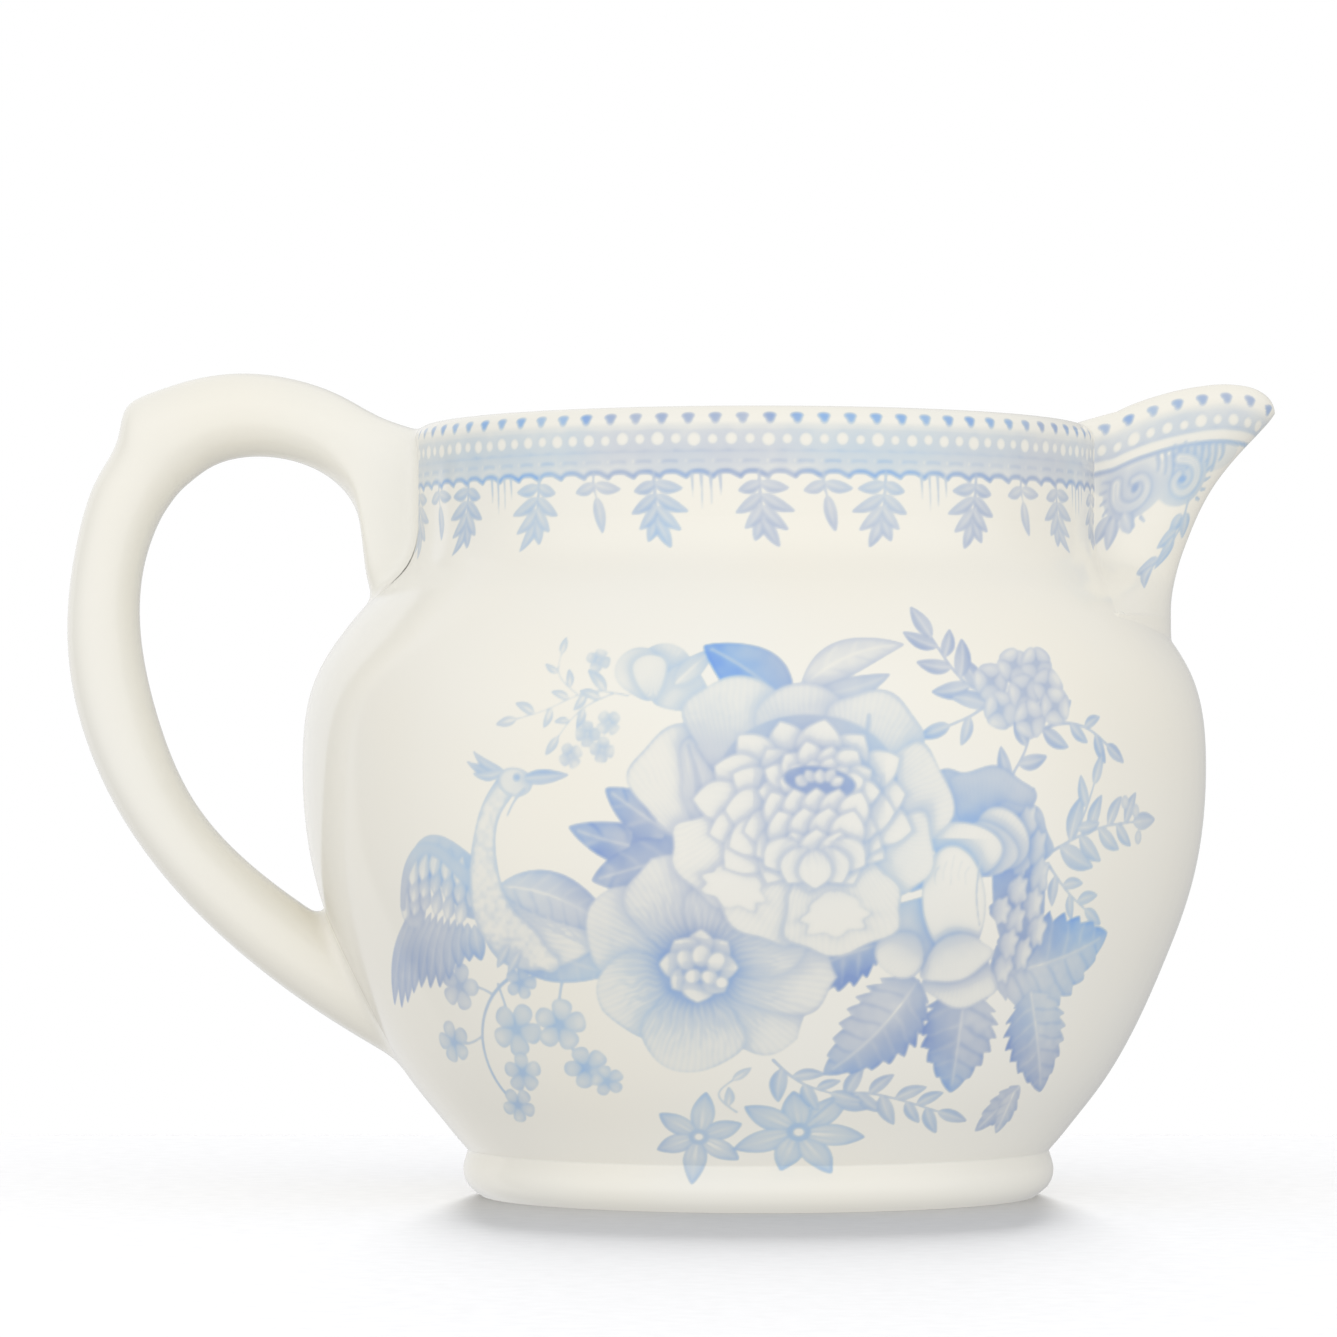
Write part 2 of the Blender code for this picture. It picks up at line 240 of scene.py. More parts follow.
class Plan:
    """Columns round the jug: first across the spout from its -Y side to its +Y side, then round the bowl."""

    def __init__(self, across, around):
        self.turn = np.radians(np.linspace(-90, 90, across))
        self.share = np.linspace(0.0, 1.0, around + 2)[1:-1]
        self.nose = np.concatenate([np.cos(self.turn), np.zeros(around)])

    def lifted(self, rows, share):
        """Height of every point, for rows given on the plain neck, which lift towards the spout's lip."""
        lift = np.clip((rows - SPOUT_BOTTOM_Z) / (RIM_Z - SPOUT_BOTTOM_Z), 0.0, None)
        return rows[:, None] + lift[:, None] * (np.interp(share, LIP[:, 0], LIP[:, 1]) - RIM_Z)

    def outer_skin(self, rows):
        return self.outside(self.lifted(rows, np.tile(self.nose, (len(rows), 1))))

    def inner_skin(self, rows):
        z = self.lifted(rows, np.tile(self.nose, (len(rows), 1)))
        for _ in range(3):
            grid = self.inside(z)
            crease = np.sqrt(NECK_RADIUS ** 2 - spout_half_width(z) ** 2)
            reach = np.interp(z, THROAT[:, 1], THROAT[:, 0])
            z = self.lifted(rows, np.clip((grid[:, :, 0] - crease) / (reach - crease), 0.0,
                                          1.0) * (self.nose > 1e-6))
        return self.inside(z)

    def outside(self, z):
        radius = outer_radius(z)
        width = column_half_width(z)
        cross = len(self.turn)
        across = width[:, :cross] * np.sin(self.turn)
        softness = 0.15 + 1.8 * smooth_step(62.5, 59.5, z) * smooth_step(55.0, 57.5, z)
        reach = np.interp(z, THROAT[:, 1], THROAT[:, 0])
        x = nose(z[:, :cross], radius[:, :cross], width[:, :cross], reach[:, :cross], across,
                 softness[:, :cross])
        return self.joined(x, across, z, radius[:, cross:], width[:, cross:] / radius[:, cross:])

    def inside(self, z):
        radius = inner_radius(z)
        edge = column_half_width(z) / outer_radius(z) * radius
        cross = len(self.turn)
        width = (column_half_width(z) - SPOUT_WALL)[:, :cross]
        lean = np.degrees(self.turn) / CHANNEL_CORNER
        along = np.sin(np.radians(90 * np.clip(lean, -1, 1)))
        past = np.sign(lean) * np.clip((np.abs(lean) - 1) / (90 / CHANNEL_CORNER - 1), 0, None)
        across = width * along + (edge[:, :cross] - width) * past
        reach = np.interp(z, THROAT[:, 1], THROAT[:, 0])[:, :cross] - SPOUT_WALL
        x = nose(z[:, :cross], radius[:, :cross], width, reach, across, 0.6)
        return self.joined(x, across, z, radius[:, cross:], edge[:, cross:] / radius[:, cross:])

    def joined(self, x, across, z, radius, sine):
        start = np.arcsin(sine)
        angle = start + (2 * math.pi - 2 * start) * self.share
        x = np.hstack([x, radius * np.cos(angle)])
        return np.stack([x, np.hstack([across, radius * np.sin(angle)]), z], axis=-1)


def softened(grid, rows, columns):
    """The grid of points with its creases eased, as glaze fills them, by a bell of that many points."""
    for axis, spread in ((0, rows), (1, columns)):
        if not spread:
            continue
        offsets = np.arange(-3 * spread, 3 * spread + 1)
        weights = np.exp(-0.5 * (offsets / spread) ** 2)
        weights /= weights.sum()
        total = np.zeros_like(grid)
        for offset, weight in zip(offsets, weights):
            if axis == 1:
                total += weight * np.roll(grid, offset, axis=1)
            else:
                at = np.arange(len(grid)) + offset
                mirrored = 2 * grid[np.clip(at, 0, len(grid) - 1)] - grid[
                    np.clip(2 * np.clip(at, 0, len(grid) - 1) - at, 0, len(grid) - 1)]
                total += weight * np.where(((at < 0) | (at >= len(grid)))[:, None, None], mirrored,
                                           grid[np.clip(at, 0, len(grid) - 1)])
        grid = total
    return grid


def grid_normals(grid, closed):
    """The direction each point of a grid faces, which may close on itself round its columns."""
    if closed:
        along = np.roll(grid, -1, axis=1) - np.roll(grid, 1, axis=1)
    else:
        along = np.gradient(grid, axis=1)
    normals = np.cross(along, np.gradient(grid, axis=0))
    return normals / np.maximum(np.linalg.norm(normals, axis=2), 1e-9)[:, :, None]


def skin(name, grid, normals, closed=False, values=None):
    """A mesh piece from a grid of points in millimetres about the turned axis, facing along its normals."""
    rows, columns = grid.shape[:2]
    mesh = bpy.data.meshes.new(name)
    index = np.arange(rows * columns).reshape(rows, columns)
    after = np.roll(index, -1, axis=1) if closed else index[:, 1:]
    here = index if closed else index[:, :-1]
    quads = np.stack([here[:-1], after[:-1], after[1:], here[1:]], axis=-1).reshape(-1, 4)
    mesh.vertices.add(rows * columns)
    points = grid.reshape(-1, 3) * MM + np.array([AXIS_X, 0.0, 0.0])
    mesh.vertices.foreach_set("co", points.astype(np.float32).ravel())
    mesh.loops.add(quads.size)
    mesh.loops.foreach_set("vertex_index", quads.astype(np.int32).ravel())
    mesh.polygons.add(len(quads))
    mesh.polygons.foreach_set("loop_start", np.arange(0, quads.size, 4, dtype=np.int32))
    mesh.update()
    mesh.shade_smooth()
    mesh.normals_split_custom_set_from_vertices(normals.reshape(-1, 3).astype(np.float32))
    for key, value in (values or {}).items():
        layer = mesh.attributes.new(key, "FLOAT", "POINT")
        layer.data.foreach_set("value", value.astype(np.float32).ravel())
    piece = bpy.data.objects.new(name, mesh)
    bpy.context.scene.collection.objects.link(piece)
    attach(piece, "root")
    return piece


class Sheet:
    """A flat drawing in millimetres. Its ink runs from 0, bare glaze, to 1, the strongest blue."""

    def __init__(self, left, right, low, high, fineness):
        self.fineness = fineness
        self.u = left + (np.arange(round((right - left) * fineness)) + 0.5) / fineness
        self.v = low + (np.arange(round((high - low) * fineness)) + 0.5) / fineness
        self.ink = np.zeros((len(self.v), len(self.u)))
        self.filled = np.zeros_like(self.ink)

    def window(self, middle, reach):
        rows = slice(*np.searchsorted(self.v, (middle[1] - reach, middle[1] + reach)))
        columns = slice(*np.searchsorted(self.u, (middle[0] - reach, middle[0] + reach)))
        u, v = np.meshgrid(self.u[columns], self.v[rows])
        return rows, columns, u, v

    def lay(self, rows, columns, inside, tone, halo=0.0, spread=0.6):
        """Lays a tone over the points inside an edge, by distance from it, and shades what is under."""
        under, filled = self.ink[rows, columns], self.filled[rows, columns]
        cover = np.clip(0.5 + inside * self.fineness, 0.0, 1.0)
        shade = halo * filled * np.exp(-np.maximum(-inside, 0.0) / spread)
        under = under + shade * (0.85 - under)
        self.ink[rows, columns] = under * (1 - cover) + np.clip(tone, 0.0, 1.0) * cover
        self.filled[rows, columns] = np.maximum(filled, cover)

    def finish(self, bleed, mottle, seed, wash=0.03):
        """The ink as the glaze leaves it: a little run together, uneven, and over a faint wash of its own."""
        spread = bleed * self.fineness
        reach = int(3 * spread) + 1
        weights = np.exp(-0.5 * (np.arange(-reach, reach + 1) / spread) ** 2)
        weights /= weights.sum()
        ink = self.ink + wash * self.filled * (1 - self.ink)
        for axis in (0, 1):
            ink = sum(weight * np.roll(ink, at - reach, axis=axis) for at, weight in enumerate(weights))
        u, v = np.meshgrid(self.u, self.v)
        self.ink = ink * (1 + mottle * cloud(u, v, 2.6, seed) + 0.6 * mottle * cloud(u, v, 0.8, seed + 1))
        return self

    def at(self, u, v):
        """Ink at any points, smoothly between the drawing's own."""
        column = np.clip((u - self.u[0]) * self.fineness, 0, len(self.u) - 1.001)
        row = np.clip((v - self.v[0]) * self.fineness, 0, len(self.v) - 1.001)
        c, r = column.astype(int), row.astype(int)
        x, y = column - c, row - r
        ink = self.ink
        low = ink[r, c] * (1 - x) + ink[r, c + 1] * x
        return low * (1 - y) + (ink[r + 1, c] * (1 - x) + ink[r + 1, c + 1] * x) * y


def cloud(u, v, size, seed):
    """Soft random unevenness between -1 and 1, with lumps of about that size."""
    lattice = np.random.default_rng(seed).uniform(-1, 1, (97, 97))
    x, y = u / size + 40.5, v / size + 40.5
    c, r = np.floor(x).astype(int), np.floor(y).astype(int)
    x, y = x - c, y - r
    x, y = x * x * (3 - 2 * x), y * y * (3 - 2 * y)
    c, r = c % 96, r % 96
    low = lattice[r, c] * (1 - x) + lattice[r, c + 1] * x
    return low * (1 - y) + (lattice[r + 1, c] * (1 - x) + lattice[r + 1, c + 1] * x) * y


def place(start, distance, degrees):
    """The point that far from start, at an angle anticlockwise from +u."""
    angle = math.radians(degrees)
    return (start[0] + distance * math.cos(angle), start[1] + distance * math.sin(angle))


def between(u, v, base, tip):
    """Share of the way from base to tip, distance to its left, and the whole length."""
    run = (tip[0] - base[0], tip[1] - base[1])
    length = math.hypot(*run)
    along = ((u - base[0]) * run[0] + (v - base[1]) * run[1]) / length ** 2
    aside = ((v - base[1]) * run[0] - (u - base[0]) * run[1]) / length
    return along, aside, length


def leaf(sheet, base, tip, width, ink=0.42, bend=0.0, teeth=0, ribs=0, side=1, contrast=0.3, fat=0.8,
         halo=0.2,
         edge=0.16, tip_ink=0.15):
    """A leaf from its stalk to its point: darker on one side of the midrib, with veins and perhaps teeth."""
    length = math.dist(base, tip)
    middle = ((base[0] + tip[0]) / 2, (base[1] + tip[1]) / 2)
    rows, columns, u, v = sheet.window(middle, 0.55 * length + 0.6 * width + 1.0)
    along, aside, length = between(u, v, base, tip)
    share = np.clip(along, 0.0, 1.0)
    aside = aside - bend * length * 4 * share * (1 - share)
    half = width / 2 * np.sin(math.pi * share ** fat) ** 0.8
    across = np.clip(np.abs(aside) / (width / 2), 0.0, 1.0)
    if teeth:
        half = half * (1 + 0.24 * ((share * teeth + 0.4 * across) % 1.0 - 0.6))
    inside = half - np.abs(aside) - length * np.maximum(np.abs(along - 0.5) - 0.5, 0.0)
    dark = 0.5 + 0.5 * np.tanh(side * aside / 0.35)
    body = ink * (0.85 + 0.5 * across ** 1.5) if ribs else ink
    tone = body * (1 - contrast) + 2 * body * contrast * dark * (0.6 + 0.4 * across) + tip_ink * share ** 2
    tone = tone - 0.5 * ink * np.exp(-(aside / 0.13) ** 2) * (share < 0.93)
    if ribs:
        phase = share * ribs - 0.9 * across + 0.15 * cloud(u, v, 1.4, 9)
        vein = np.exp(-((phase - np.round(phase)) / 0.11) ** 2) * (across > 0.06) * (across < 0.9)
        tone = tone + vein * ink * (0.45 - 0.75 * dark) + 0.12 * ink * cloud(u, v, 0.7, 4)
    tone = tone + edge * np.exp(-np.maximum(inside, 0.0) / 0.16)
    sheet.lay(rows, columns, inside, tone, halo)


def petal(sheet, base, tip, width, ink=0.06, root=0.5, rim=0.34, frill=0.06, lobes=5, turn=0.0, hatch=0.05,
          halo=0.3, broad=0.35, depth=0.3, spread=0.45, point=0.0):
    """A rounded petal from its root to its outer edge, hatched like a fan and shaded towards the root."""
    length = math.dist(base, tip)
    middle = ((base[0] + tip[0]) / 2, (base[1] + tip[1]) / 2)
    rows, columns, u, v = sheet.window(middle, 0.6 * max(length, width) + 0.35 * width + 1.2)
    along, aside, length = between(u, v, base, tip)
    out = (along - 0.5) * 2
    over = aside / (width / 2) / (1 + broad * np.clip(out, -1.2, 1.2))
    angle = np.arctan2(over, out)
    size = np.hypot(out, over) * (1 - frill * np.cos(lobes * angle + turn) * (0.3 + 0.7 * (out > -0.3)))
    size = size * (1 - point * np.exp(-np.abs(angle) / 0.28))
    inside = (1 - size) * min(length, width) / 2
    share = np.clip(along, 0.0, 1.0)
    fan = np.arctan2(aside, along * length + 0.5 * width)
    lines = np.cos(fan * (70 + 8 * width) + 2.5 * cloud(u, v, 1.5, lobes + 7)) * np.exp(-share / 0.7)
    uneven = 0.75 + 0.35 * np.sin(2.3 * angle + 5 * turn + width)
    tone = ink + root * np.exp(-share / depth) + hatch * lines
    tone = tone + rim * uneven * np.exp(-np.maximum(inside, 0.0) / 0.14)
    sheet.lay(rows, columns, inside, tone, halo, spread)


def cup_petal(sheet, base, tip, width, ink=0.05, edge=0.34, halo=0.32, root=0.16):
    """A pale petal with a rounded body and a point, thinly outlined and veined from its root."""
    length = math.dist(base, tip)
    middle = ((base[0] + tip[0]) / 2, (base[1] + tip[1]) / 2)
    rows, columns, u, v = sheet.window(middle, 0.55 * length + 0.6 * width + 1.0)
    along, aside, length = between(u, v, base, tip)
    share = np.clip(along, 0.0, 1.0)
    body = np.sin(math.pi * np.minimum(share, 0.5)) ** 0.5
    half = width / 2 * np.where(share < 0.5, body, 1 - np.abs(2 * share - 1) ** 2.3)
    inside = 0.8 * (half - np.abs(aside)) - length * np.maximum(np.abs(along - 0.5) - 0.5, 0.0)
    veins = np.cos(aside * 11 + 3 * cloud(u, v, 1.1, 5)) * np.exp(-share / 0.5)
    tone = ink + root * np.exp(-share / 0.28) + 0.035 * veins
    tone = tone + edge * np.exp(-np.maximum(inside, 0.0) / 0.12)
    sheet.lay(rows, columns, inside, tone, halo, 0.3)


def stroke(sheet, points, start, end, ink=0.4, edge=0.0, halo=0.0):
    """A soft line through points, start to end millimetres wide."""
    length = sum(math.dist(a, b) for a, b in zip(points, points[1:]))
    line = smooth_line(points, max(12, int(length / 0.1)))
    reach = np.ptp(line, axis=0).max() / 2 + max(start, end) + 0.6
    rows, columns, u, v = sheet.window((line.max(axis=0) + line.min(axis=0)) / 2, reach)
    inside = np.full(u.shape, -99.0)
    for (x, y), width in zip(line, np.linspace(start, end, len(line))):
        inside = np.maximum(inside, width / 2 - np.hypot(u - x, v - y))
    tone = ink + edge * np.exp(-np.maximum(inside, 0.0) / 0.17)
    sheet.lay(rows, columns, inside, tone, halo)


def dot(sheet, middle, width, height, ink=0.04, edge=0.0, lean=0.0, halo=0.0):
    """A soft round or oval spot."""
    rows, columns, u, v = sheet.window(middle, max(width, height) / 2 + 0.6)
    turn = math.radians(lean)
    x = (u - middle[0]) * math.cos(turn) + (v - middle[1]) * math.sin(turn)
    y = (v - middle[1]) * math.cos(turn) - (u - middle[0]) * math.sin(turn)
    inside = (1 - np.hypot(x / (width / 2), y / (height / 2))) * min(width, height) / 2
    tone = ink + edge * np.exp(-np.maximum(inside, 0.0) / 0.12)
    sheet.lay(rows, columns, inside, tone, halo)


def blossom(sheet, middle, reach, count, turn, ink=0.1, rim=0.3, eye=0.5, width=0.95):
    """A small open flower of round petals."""
    for i in range(count):
        degrees = turn + 360 * i / count
        petal(sheet, place(middle, 0.1 * reach, degrees), place(middle, reach, degrees), width * reach,
              ink=ink, root=0.3, rim=rim, frill=0.03, turn=i, hatch=0.0, halo=0.1, lobes=3)
    dot(sheet, middle, 0.36 * reach, 0.36 * reach, ink=eye)


def star(sheet, middle, reach, count, turn, ink=0.12):
    """An open flower of pointed petals, pale inside with darker edges, round a dark ring."""
    for i in range(count):
        degrees = turn + 360 * i / count
        long = reach * (1 + 0.14 * math.sin(2.1 * i + turn))
        tip = place(middle, long, degrees + 5)
        leaf(sheet, place(middle, 0.06 * reach, degrees), tip, 0.46 * reach, ink=ink, fat=0.95, contrast=0.1,
             tip_ink=0.36, edge=0.4, halo=0.3, side=(-1) ** i)
        for way in (-1, 1):
            stroke(sheet, [place(middle, 0.2 * reach, degrees + 14 * way),
                           place(middle, 0.62 * long, degrees + 4 + 8 * way)], 0.18, 0.08, ink=ink + 0.2)
    dot(sheet, middle, 0.4 * reach, 0.4 * reach, ink=0.5)
    dot(sheet, middle, 0.18 * reach, 0.18 * reach)


def sprig(sheet, points, leaves, size, ink=0.14, spread=42, stem=0.22, start=0.2, end_leaf=True, seed=1):
    """A curving stem with leaves in turn on either side of it and one at its end."""
    rng = np.random.default_rng(seed)
    line = smooth_line(points, 60)
    stroke(sheet, points, stem * 1.2, stem * 0.8, ink=ink + 0.12)
    for i in range(leaves):
        at = int((start + (1 - start) * i / leaves) * 59)
        ahead = line[min(at + 2, 59)] - line[max(at - 2, 0)]
        degrees = math.degrees(math.atan2(ahead[1], ahead[0]))
        way = 1 if i % 2 else -1
        lean = degrees + way * (spread + rng.uniform(-8, 8))
        long = size * rng.uniform(0.85, 1.15) * (1.05 - 0.25 * i / leaves)
        leaf(sheet, tuple(line[at]), place(line[at], long, lean), long * 0.42, ink=ink, side=way, edge=0.2,
             bend=0.05 * way, tip_ink=0.18, halo=0.0)
    if end_leaf:
        ahead = line[-1] - line[-4]
        degrees = math.degrees(math.atan2(ahead[1], ahead[0]))
        leaf(sheet, tuple(line[-1]), place(line[-1], size, degrees), size * 0.4, ink=ink, edge=0.2,
             tip_ink=0.18)


def back_petals(sheet):
    """The broad outer petals of the big flower, behind everything else of it."""
    petal(sheet, (-4.5, 33.0), (-8.6, 43.0), 8.6, root=0.16, turn=1.0)
    petal(sheet, (-5.0, 34.0), (-3.6, 43.6), 5.8, ink=0.16, root=0.3, rim=0.3, frill=0.07, lobes=6)
    petal(sheet, (-2.0, 38.4), (-1.8, 47.8), 9.2, ink=0.07, rim=0.32, frill=0.05, depth=0.36)
    petal(sheet, (3.5, 39.0), (4.0, 47.2), 8.0, ink=0.08, root=0.62, rim=0.28, frill=0.04, depth=0.36,
          lobes=4)
    petal(sheet, (8.5, 37.6), (11.2, 46.4), 8.2, ink=0.07, depth=0.4)
    petal(sheet, (9.5, 36.0), (17.0, 38.6), 8.4, rim=0.32, turn=2.0)
    petal(sheet, (9.5, 33.0), (15.6, 32.0), 7.0, root=0.4, frill=0.07, turn=1.0)
    for u, v, end_u, end_v in [(-6.4, 41.8, -5.6, 36.4), (-5.9, 40.4, -5.2, 35.2), (9.6, 44.4, 8.6, 41.6)]:
        stroke(sheet, [(u, v), ((u + end_u) / 2 + 0.3, (v + end_v) / 2), (end_u, end_v)], 0.3, 0.5, ink=0.42)


def ring(sheet, middle, across, up, long, width, count, start, end, halo=0.32):
    """Cup petals in a ring, their points on an oval, each pointing away from its middle."""
    for i in range(count):
        angle = math.radians(start + (end - start) * (i + 0.5) / count)
        out = 1 + 0.05 * math.sin(2.7 * i)
        tip = (middle[0] + out * across * math.cos(angle), middle[1] + out * up * math.sin(angle))
        share = 1 - long / math.dist(middle, tip)
        base = (middle[0] + share * (tip[0] - middle[0]), middle[1] + share * (tip[1] - middle[1]))
        cup_petal(sheet, base, tip, width * (1 + 0.12 * math.sin(4.1 * i)), halo=halo)


def big_flower(sheet):
    """A many-petalled peony seen from a little above its cup."""
    back_petals(sheet)
    low = [(0.0, 35.0, -6.4, 29.4, 8.6, 2.2), (4.0, 33.0, -2.2, 25.6, 9.4, 0.0),
           (6.0, 33.0, 8.2, 23.2, 10.4, 1.5)]
    for u, v, end_u, end_v, width, turn in low:
        petal(sheet, (u, v), (end_u, end_v), width, ink=0.04, root=0.24, rim=0.3, frill=0.05, lobes=7,
              turn=turn,
              hatch=0.06)
    for u, v, end_u, end_v, width in [(-1.4, 31.4, -3.0, 27.6, 5.4), (6.4, 29.0, 6.8, 24.8, 5.6)]:
        petal(sheet, (u, v), (end_u, end_v), width, ink=0.02, root=0.1, rim=0.26, frill=0.1, lobes=9,
              halo=0.16)
    dot(sheet, (4.2, 38.8), 16.0, 11.4, ink=0.46)
    ring(sheet, (4.0, 36.5), 9.6, 7.7, 5.2, 3.9, 15, 92, 452)
    ring(sheet, (4.2, 36.0), 7.7, 6.3, 4.8, 3.7, 12, 104, 464)
    ring(sheet, (4.5, 35.4), 6.2, 5.4, 4.2, 3.4, 7, 180, 360)
    dot(sheet, (5.2, 38.0), 10.6, 7.4, ink=0.36, edge=0.16, halo=0.25)
    ring(sheet, (5.2, 37.4), 5.5, 4.7, 3.0, 2.4, 8, 188, -8)
    ring(sheet, (5.3, 37.6), 4.0, 3.1, 2.0, 1.8, 6, 172, 8)
    dot(sheet, (5.2, 38.6), 6.4, 2.6, ink=0.85, lean=-8)
    ring(sheet, (5.2, 37.9), 2.7, 1.9, 1.3, 1.1, 5, 160, 20)
    for top, count, spread, long, width in [(38.1, 5, 9.0, 3.7, 2.9), (36.4, 4, 8.0, 4.0, 3.3),
                                            (34.5, 3, 5.8, 3.8, 3.3)]:
        for i in range(count):
            share = (i + 0.5) / count - 0.5
            drop = 2.2 * share ** 2
            base = (4.9 + share * spread * 0.7, top - long - drop)
            cup_petal(sheet, base, (4.9 + share * spread * 1.12, top - drop), width, halo=0.4)
    for start, end in ((196, 236), (304, 344), (226, 262), (278, 314), (252, 288)):
        ring(sheet, (4.8, 34.2), 5.6, 5.2, 3.6, 3.2, 1, start, end)


def open_flower(sheet):
    """A wide open flower with six broad petals round a dark eye."""
    middle = (-5.6, 21.6)
    for degrees, reach, width, turn, point in [(150, 11.0, 8.6, 0.4, 0.03), (112, 10.6, 7.2, 2.0, 0.1),
                                               (206, 9.4, 8.0, 1.0, 0.05), (60, 8.2, 7.6, 1.0, 0.0),
                                               (-38, 11.0, 7.6, 2.0, 0.1), (-4, 11.8, 7.8, 3.0, 0.16),
                                               (28, 10.8, 7.4, 0.0, 0.12), (266, 10.4, 8.8, 0.5, 0.0)]:
        petal(sheet, place(middle, 1.0, degrees), place(middle, reach, degrees), width, ink=0.09,
              rim=0.26,
              frill=0.055, turn=turn, hatch=0.07, halo=0.26, depth=0.3, point=point, lobes=4)
    rows, columns, u, v = sheet.window(middle, 9.0)
    away = np.hypot(u - middle[0], v - middle[1])
    angle = np.arctan2(v - middle[1], u - middle[0])
    rays = 0.5 + 0.5 * np.cos(46 * angle + 4 * cloud(u, v, 1.2, 3))
    burst = np.exp(-np.maximum(away - 3.3, 0.0) / (0.5 + 1.0 * rays)) * 0.66
    patch = sheet.ink[rows, columns]
    burst = burst * sheet.filled[rows, columns]
    sheet.ink[rows, columns] = np.maximum(patch, patch + burst * (0.92 - patch))
    ring(sheet, (-5.4, 21.8), 3.5, 3.5, 2.9, 2.7, 8, 20, 380, 0.3)
    dot(sheet, (-5.2, 21.4), 3.6, 2.6, ink=0.5)
    for u, v, wide, high, lean in [(-6.6, 22.4, 1.7, 2.1, 25), (-5.2, 22.8, 1.8, 2.2, 0),
                                   (-3.9, 22.2, 1.6, 2.1, -28),
                                   (-6.0, 20.8, 1.6, 1.4, 40), (-4.5, 20.7, 1.6, 1.4, -30), (-3.4, 20.2,
                                                                                             1.2, 1.2, 0)]:
        dot(sheet, (u, v), wide, high, edge=0.26, lean=lean, halo=0.3)


def side_rose(sheet):
    """A cupped rose turned to the right, with frilled petals down its far side."""
    petal(sheet, (18.5, 33.0), (16.6, 39.4), 7.0, ink=0.34, root=0.75, rim=0.4, frill=0.08, lobes=7)
    petal(sheet, (21.0, 33.0), (22.0, 39.8), 8.4, ink=0.32, root=0.8, rim=0.4, lobes=6)
    petal(sheet, (22.0, 30.0), (26.4, 36.0), 6.6, ink=0.3, root=0.75, frill=0.08, lobes=6)
    petal(sheet, (16.0, 28.0), (11.8, 22.4), 6.2, ink=0.05, turn=2.0)
    petal(sheet, (15.5, 30.0), (12.6, 31.6), 5.0, ink=0.3, root=0.4, frill=0.08)
    petal(sheet, (19.0, 24.0), (18.6, 17.6), 7.0, root=0.4)
    dot(sheet, (24.6, 28.6), 5.8, 13.8, ink=0.66, lean=6)
    for i, (u, v, wide) in enumerate([(26.2, 34.6, 3.2), (27.4, 32.4, 3.2), (27.8, 29.8, 3.4),
                                      (27.2, 27.2, 3.2),
                                      (27.8, 24.8, 3.0), (26.2, 22.6, 3.0), (24.2, 21.4, 3.0), (25.6, 31.4,
                                                                                                2.8),
                                      (25.4, 28.6, 2.8), (25.2, 25.8, 2.8), (24.6, 23.6, 2.6), (23.6, 26.8,
                                                                                                2.4)]):
        petal(sheet, (u - 2.2, v + 0.4), (u, v), wide, ink=0.08, rim=0.4, frill=0.12, lobes=7,
              turn=i,
              halo=0.5, spread=0.3)
    petal(sheet, (20.4, 31.0), (24.2, 35.4), 6.0, ink=0.05, root=0.34, frill=0.04, halo=0.7, lobes=3)
    petal(sheet, (20.0, 30.4), (22.6, 34.4), 5.4, ink=0.04, root=0.3, frill=0.04, halo=0.6,
          turn=2.0, lobes=3)
    petal(sheet, (18.2, 30.0), (19.6, 34.8), 7.2, ink=0.04, root=0.2, frill=0.04, halo=0.7,
          turn=1.0, lobes=3)
    dot(sheet, (17.8, 27.8), 6.4, 10.4, edge=0.34, lean=6, halo=0.8)
    for i in range(5):
        u = 16.2 + 0.75 * i
        stroke(sheet, [(u, 32.0 - 0.5 * abs(i - 2)), (u - 0.3, 30.6), (u - 0.3, 29.4 + 0.4 * (i % 2))],
               0.14, 0.08,
               ink=0.2)
    stroke(sheet, [(20.3, 31.4), (20.0, 28.6), (20.4, 25.6)], 0.2, 0.14, ink=0.34)
    petal(sheet, (17.4, 24.8), (18.8, 20.4), 7.0, ink=0.05, root=0.3, frill=0.05, halo=0.6)
    petal(sheet, (14.2, 24.8), (11.4, 21.2), 4.8, ink=0.05, root=0.4, frill=0.04, halo=0.5, lobes=3)


